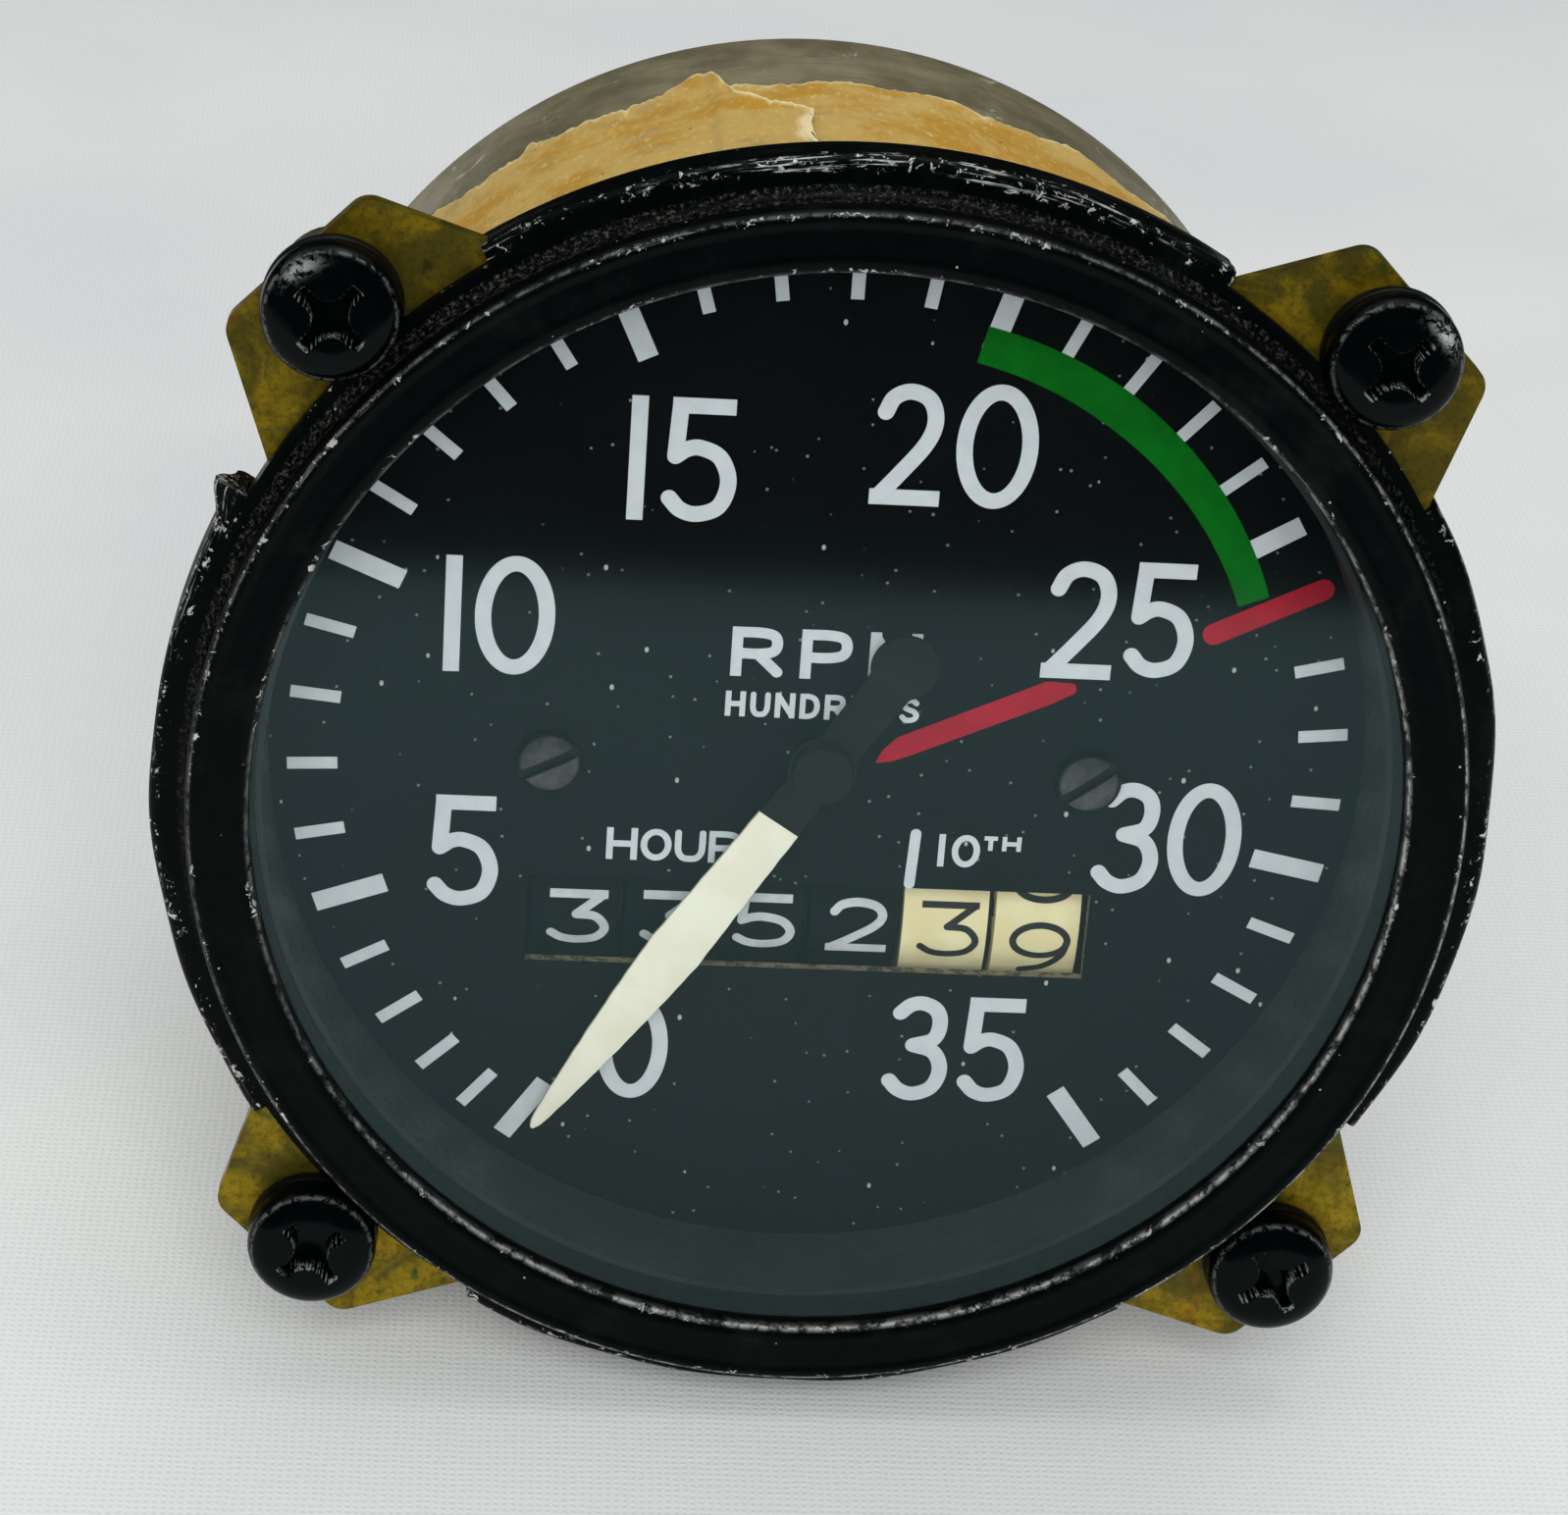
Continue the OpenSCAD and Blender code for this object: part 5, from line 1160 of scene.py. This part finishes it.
def screwHeadShell(centre, recessTurn, scuffTurn, scuff):
    # polar grid from the middle out: an elliptical dome less a cross with hollow sides,
    # then the rim and the underside
    look = screwLook
    radii = np.concatenate([np.linspace(0.03, 2.9, 58), np.linspace(3.0, look["headRadius"], 16)])
    angles = turnAngles(144)
    rim = look["rimShare"] * look["headHeight"]
    flat = look["flatShare"] * look["headRadius"]
    bow = np.clip((radii - flat) / (look["headRadius"] - flat), 0, 1)
    dome = rim + (look["headHeight"] - rim) * np.sqrt(1 - bow ** 2)
    x = np.abs(radii[None] * np.sin(angles - math.radians(recessTurn))[:, None])
    y = np.abs(radii[None] * np.cos(angles - math.radians(recessTurn))[:, None])
    hollow = np.sqrt(x * y) - look["recessWaist"]        # zero along the hollow sides between the wings
    outside = np.minimum(hollow, np.minimum(x, y) - look["wingHalf"])
    wall = 1 - smoothStep(-0.08, 0.02, outside)
    cross = wall * (1 - smoothStep(0.82 * look["wingReach"], look["wingReach"], np.maximum(x, y)))
    heights = look["seat"] + dome[None] - look["recess"] * cross
    edgeWearAndGlint = 0.8 * smoothStep(0.01, 0.08, cross) * (1 - smoothStep(0.12, 0.3, cross))
    sideways = (np.degrees(angles) - scuffTurn + 180) % 360 - 180
    scuffed = scuff * bump(sideways, 0, look["scuffSpan"])[:, None]
    edgeWearAndGlint = np.maximum(edgeWearAndGlint, scuffed * bump(radii, look["scuffRadius"], look["scuffWidth"]))
    # a thin pale ring near the rim, partly worn edge and partly painted highlight
    edgeWearAndGlint = np.maximum(edgeWearAndGlint, look["rimWearAndGlint"] * bump(radii, 0.93 * look["headRadius"], 0.08))
    skirtRadii = np.array([look["headRadius"], look["headRadius"], look["headRadius"] - 0.15, 2.0])
    skirtHeights = look["seat"] + np.array([0.6, 0.15, 0.0, 0.0])
    skirtShape = (len(angles), len(skirtRadii))
    radius = np.concatenate([np.broadcast_to(radii, x.shape),
                             np.broadcast_to(skirtRadii, skirtShape)], axis=1)
    height = np.concatenate([heights, np.broadcast_to(skirtHeights, skirtShape)], axis=1)
    wear = np.concatenate([edgeWearAndGlint, np.zeros(skirtShape)], axis=1)
    return cappedShell(turned(np.stack([radius, height], axis=-1), angles, centre)), wear


def threadedRodShell(centre, radius, top, bottom, pitch, depth):
    # the radius dips by the thread depth along a helix: cosine of height over pitch less the turn
    heights = np.linspace(top, bottom, int((top - bottom) / pitch * 10))
    angles = turnAngles(48)
    wave = 0.5 + 0.5 * np.cos(2 * np.pi * heights[None] / pitch - angles[:, None])
    runOut = smoothStep(0, 0.8, heights - bottom) * 0.75 + 0.25
    radii = radius - depth * wave - 0.35 * (1 - runOut)[None]
    section = np.stack([radii, np.broadcast_to(heights, radii.shape)], axis=-1)
    return cappedShell(turned(section, angles, centre))


def washerProfile():
    look = screwLook
    outer, hole = look["washerRadius"], look["washerHole"]
    bend, gap = 0.25, 0.02
    front = look["seat"] - gap
    frontBend = arcPoints((outer - bend, front - bend), bend, 90, 0, 5)
    rearBend = arcPoints((outer - bend, gap + bend), bend, 0, -90, 5)
    return np.concatenate([[(hole, gap), (hole, front)], frontBend, rearBend])


headShells, headWearAndGlint, shankShells, washerShells = [], [], [], []
for angle, *marks in screwLook["screws"]:
    centre = clockPoint(screwLook["circle"], angle)
    head, wear = screwHeadShell(centre, *marks)
    headShells.append(head)
    headWearAndGlint.append(wear.ravel())
    shank = threadedRodShell(centre, screwLook["shankRadius"], screwLook["seat"] + 0.1, screwLook["shankEnd"],
                             screwLook["threadPitch"], screwLook["threadDepth"])
    shankShells.append(shank)
    headWearAndGlint.append(np.zeros(len(shank[0])))
    washerShells.append(tubeShell(turned(washerProfile(), turnAngles(72), centre), True))
screwShells = [shell for pair in zip(headShells, shankShells) for shell in pair]
addPiece("panel_screws", screwShells, "screwBlack", "case", ("mounting_screws",), 50,
         {"wear": np.concatenate(headWearAndGlint)})
addPiece("panel_washers", washerShells, "washerBlack", "case", ("screw_washers",))
print("screws made:", len(headShells))

# Drive stem: flanged tube with a cut thread behind the nut, and the hexagon nut with turned corners
stemLook = {
    "radius": 11.1,
    "bore": 5.42,
    "ferruleRadius": 8.2,
    "ferruleFloor": -64.0,
    "end": -69.0,
    "chamfer": 0.7,
    "reliefRadius": 10.2,
    "reliefFrom": -56.0,
    "reliefTo": -57.4,
    "flangeRadius": 16.0,
    "flangeBack": -51.28,
    "flangeFront": -49.72,
    "threadPitch": 1.41,
    "threadDepth": 0.62,
    "nutAcross": 28.0,
    "nutFront": -52.03,
    "nutBack": -56.0,
    "nutBore": 11.13,
}


def stemShell():
    look = stemLook
    threadStart, threadEnd = look["reliefTo"] - 0.3, look["end"] + look["chamfer"]
    thread = np.stack([np.full(110, look["radius"]), np.linspace(threadStart, threadEnd, 110)], axis=-1)
    outline = [(look["bore"], look["flangeFront"]), (look["flangeRadius"], look["flangeFront"]),
               (look["flangeRadius"], look["flangeBack"]), (look["radius"], look["flangeBack"]),
               (look["radius"], look["reliefFrom"]), (look["reliefRadius"], look["reliefFrom"] - 0.1),
               (look["reliefRadius"], look["reliefTo"] + 0.1)]
    tail = [(look["radius"] - look["chamfer"], look["end"]), (look["ferruleRadius"] + 0.25, look["end"]),
            (look["ferruleRadius"], look["end"] + 0.25), (look["ferruleRadius"], look["ferruleFloor"]),
            (look["bore"], look["ferruleFloor"])]
    profile = np.concatenate([outline, thread, tail])
    angles = turnAngles(120)
    wave = 0.5 + 0.5 * np.cos(2 * np.pi * profile[None, :, 1] / look["threadPitch"] - angles[:, None])
    cut = np.zeros(len(profile))
    cut[len(outline):len(outline) + len(thread)] = look["threadDepth"]
    radius = profile[None, :, 0] - wave ** 0.7 * cut[None]
    points = turned(np.stack([radius, np.broadcast_to(profile[:, 1], radius.shape)], axis=-1), angles)
    return tubeShell(points, True)


def stemNutShell():
    # hexagon across its flats, cut at both ends by a cone that rounds off the corners
    look = stemLook
    heights = np.concatenate([np.linspace(look["nutFront"], look["nutFront"] - 1.2, 10),
                              np.linspace(look["nutBack"] + 1.2, look["nutBack"], 10)])
    angles = turnAngles(216)
    flat = look["nutAcross"] / 2
    fold = (angles + np.pi / 6) % (np.pi / 3) - np.pi / 6
    hexagon = flat / np.cos(fold)
    toFace = np.minimum(look["nutFront"] - heights, heights - look["nutBack"])
    cone = flat - 0.2 + 1.9 * toFace
    radius = np.minimum(hexagon[:, None], cone[None])
    bore = np.full((len(angles), 2), look["nutBore"])
    radius = np.concatenate([radius, bore], axis=1)
    allHeights = np.concatenate([heights, [look["nutBack"], look["nutFront"]]])
    points = turned(np.stack([radius, np.broadcast_to(allHeights, radius.shape)], axis=-1), angles)
    return tubeShell(points, True)


addPiece("stem_thread", [stemShell()], "stemMetal", "case", ("drive_housing",), 50)
addPiece("stem_hex_nut", [stemNutShell()], "nutMetal", "case", ("stem_nut",), 30)
print("stem made")


# Glass pane with a ground edge
glassLook = {"back": 0.62, "front": 2.88, "radius": 38.6, "bevel": 0.3}
paneInner = glassLook["radius"] - glassLook["bevel"]
sideFront, sideBack = glassLook["front"] - glassLook["bevel"], glassLook["back"] + glassLook["bevel"]
paneProfile = np.array([(paneInner, glassLook["front"]), (glassLook["radius"], sideFront),
                        (glassLook["radius"], sideBack), (paneInner, glassLook["back"])])
addPiece("glass_pane", [spunShell(paneProfile, 192)], "clearGlass", "case", ("front_glass",))


# Solids that keep their own shape: merged, smoothed up to an angle, and broken at their edges where they show
def edgeSmoother():
    group = bpy.data.node_groups.new("smoothSolid", "GeometryNodeTree")
    group.interface.new_socket("Geometry", in_out="INPUT", socket_type="NodeSocketGeometry")
    group.interface.new_socket("Geometry", in_out="OUTPUT", socket_type="NodeSocketGeometry")
    start = group.nodes.new("NodeGroupInput")
    end = group.nodes.new("NodeGroupOutput")
    merge = group.nodes.new("GeometryNodeMergeByDistance")
    merge.inputs["Distance"].default_value = 0.002 * mm
    faces = group.nodes.new("GeometryNodeSetShadeSmooth")
    faces.domain = "FACE"
    edges = group.nodes.new("GeometryNodeSetShadeSmooth")
    edges.domain = "EDGE"
    bend = group.nodes.new("GeometryNodeInputMeshEdgeAngle")
    gentle = group.nodes.new("FunctionNodeCompare")
    gentle.operation = "LESS_THAN"
    gentle.inputs[1].default_value = math.radians(32)
    group.links.new(start.outputs[0], merge.inputs["Geometry"])
    group.links.new(merge.outputs[0], faces.inputs["Geometry"])
    group.links.new(faces.outputs[0], edges.inputs["Geometry"])
    group.links.new(bend.outputs["Unsigned Angle"], gentle.inputs[0])
    group.links.new(gentle.outputs[0], edges.inputs["Shade Smooth"])
    group.links.new(edges.outputs[0], end.inputs[0])
    return group


smoothGroup = edgeSmoother()
solidGroups = {                  # finish and the nodes that have it
    "lugChromate": ["mounting_ring"],
    "nutMetal": ["mounting_nuts", "case_screws"],
    "gasketRubber": ["glass_gasket"],
    "spacerGrey": ["dial_spacer"],
    "dialBlack": ["dial_plate"],
    "slotScrew": ["dial_screws"],
    "platePaintedShade": ["transfer_plates"],
    "pointerBlack": ["pointer_hub"],
    "aluminiumCup": ["drag_cup"],
    "softIron": ["flux_ring", "drive_magnet"],
    "bronzeBush": ["drive_bush", "shaft_bush", "staff_bush"],
    "brassPlate": ["dial_posts", "front_plate", "frame_pillars", "rear_plate", "case_standoffs",
                   "counter_cheeks", "hairspring_stud", "cross_brackets", "hairspring_collet", "cross_wheel",
                   "lay_wheel", "counter_wheel"] + ["transfer_pinion_%d" % number for number in range(1, 6)],
    "steelBright": ["frame_screws", "drum_axle", "transfer_rod", "hairspring", "pointer_staff", "drive_shaft",
                    "drive_worm", "cross_shaft", "cross_worm", "lay_shaft", "lay_worm"],
    "drumBlack": [node for body, node, shown, colour in counterLook["drums"] if colour == "black"],
    "drumCream": [node for body, node, shown, colour in counterLook["drums"] if colour == "cream"],
}
solidFinishes = {node: finishes[finish] for finish, nodes in solidGroups.items() for node in nodes}
brokenEdges = {"mounting_ring": 0.12, "mounting_nuts": 0.25, "dial_screws": 0.1, "case_screws": 0.08}
for node, material in solidFinishes.items():
    solid = cadNodes[node]
    if not solid.material_slots:
        solid.data.materials.append(material)
    for materialSlot in solid.material_slots:
        materialSlot.material = material
    smoother = solid.modifiers.new("smoothSolid", "NODES")
    smoother.node_group = smoothGroup
    if node in brokenEdges:
        breaker = solid.modifiers.new("brokenEdge", "BEVEL")
        breaker.width = brokenEdges[node] * mm
        breaker.segments = 2
        breaker.limit_method = "ANGLE"
        breaker.angle_limit = math.radians(45)
print("solids finished:", len(solidFinishes))
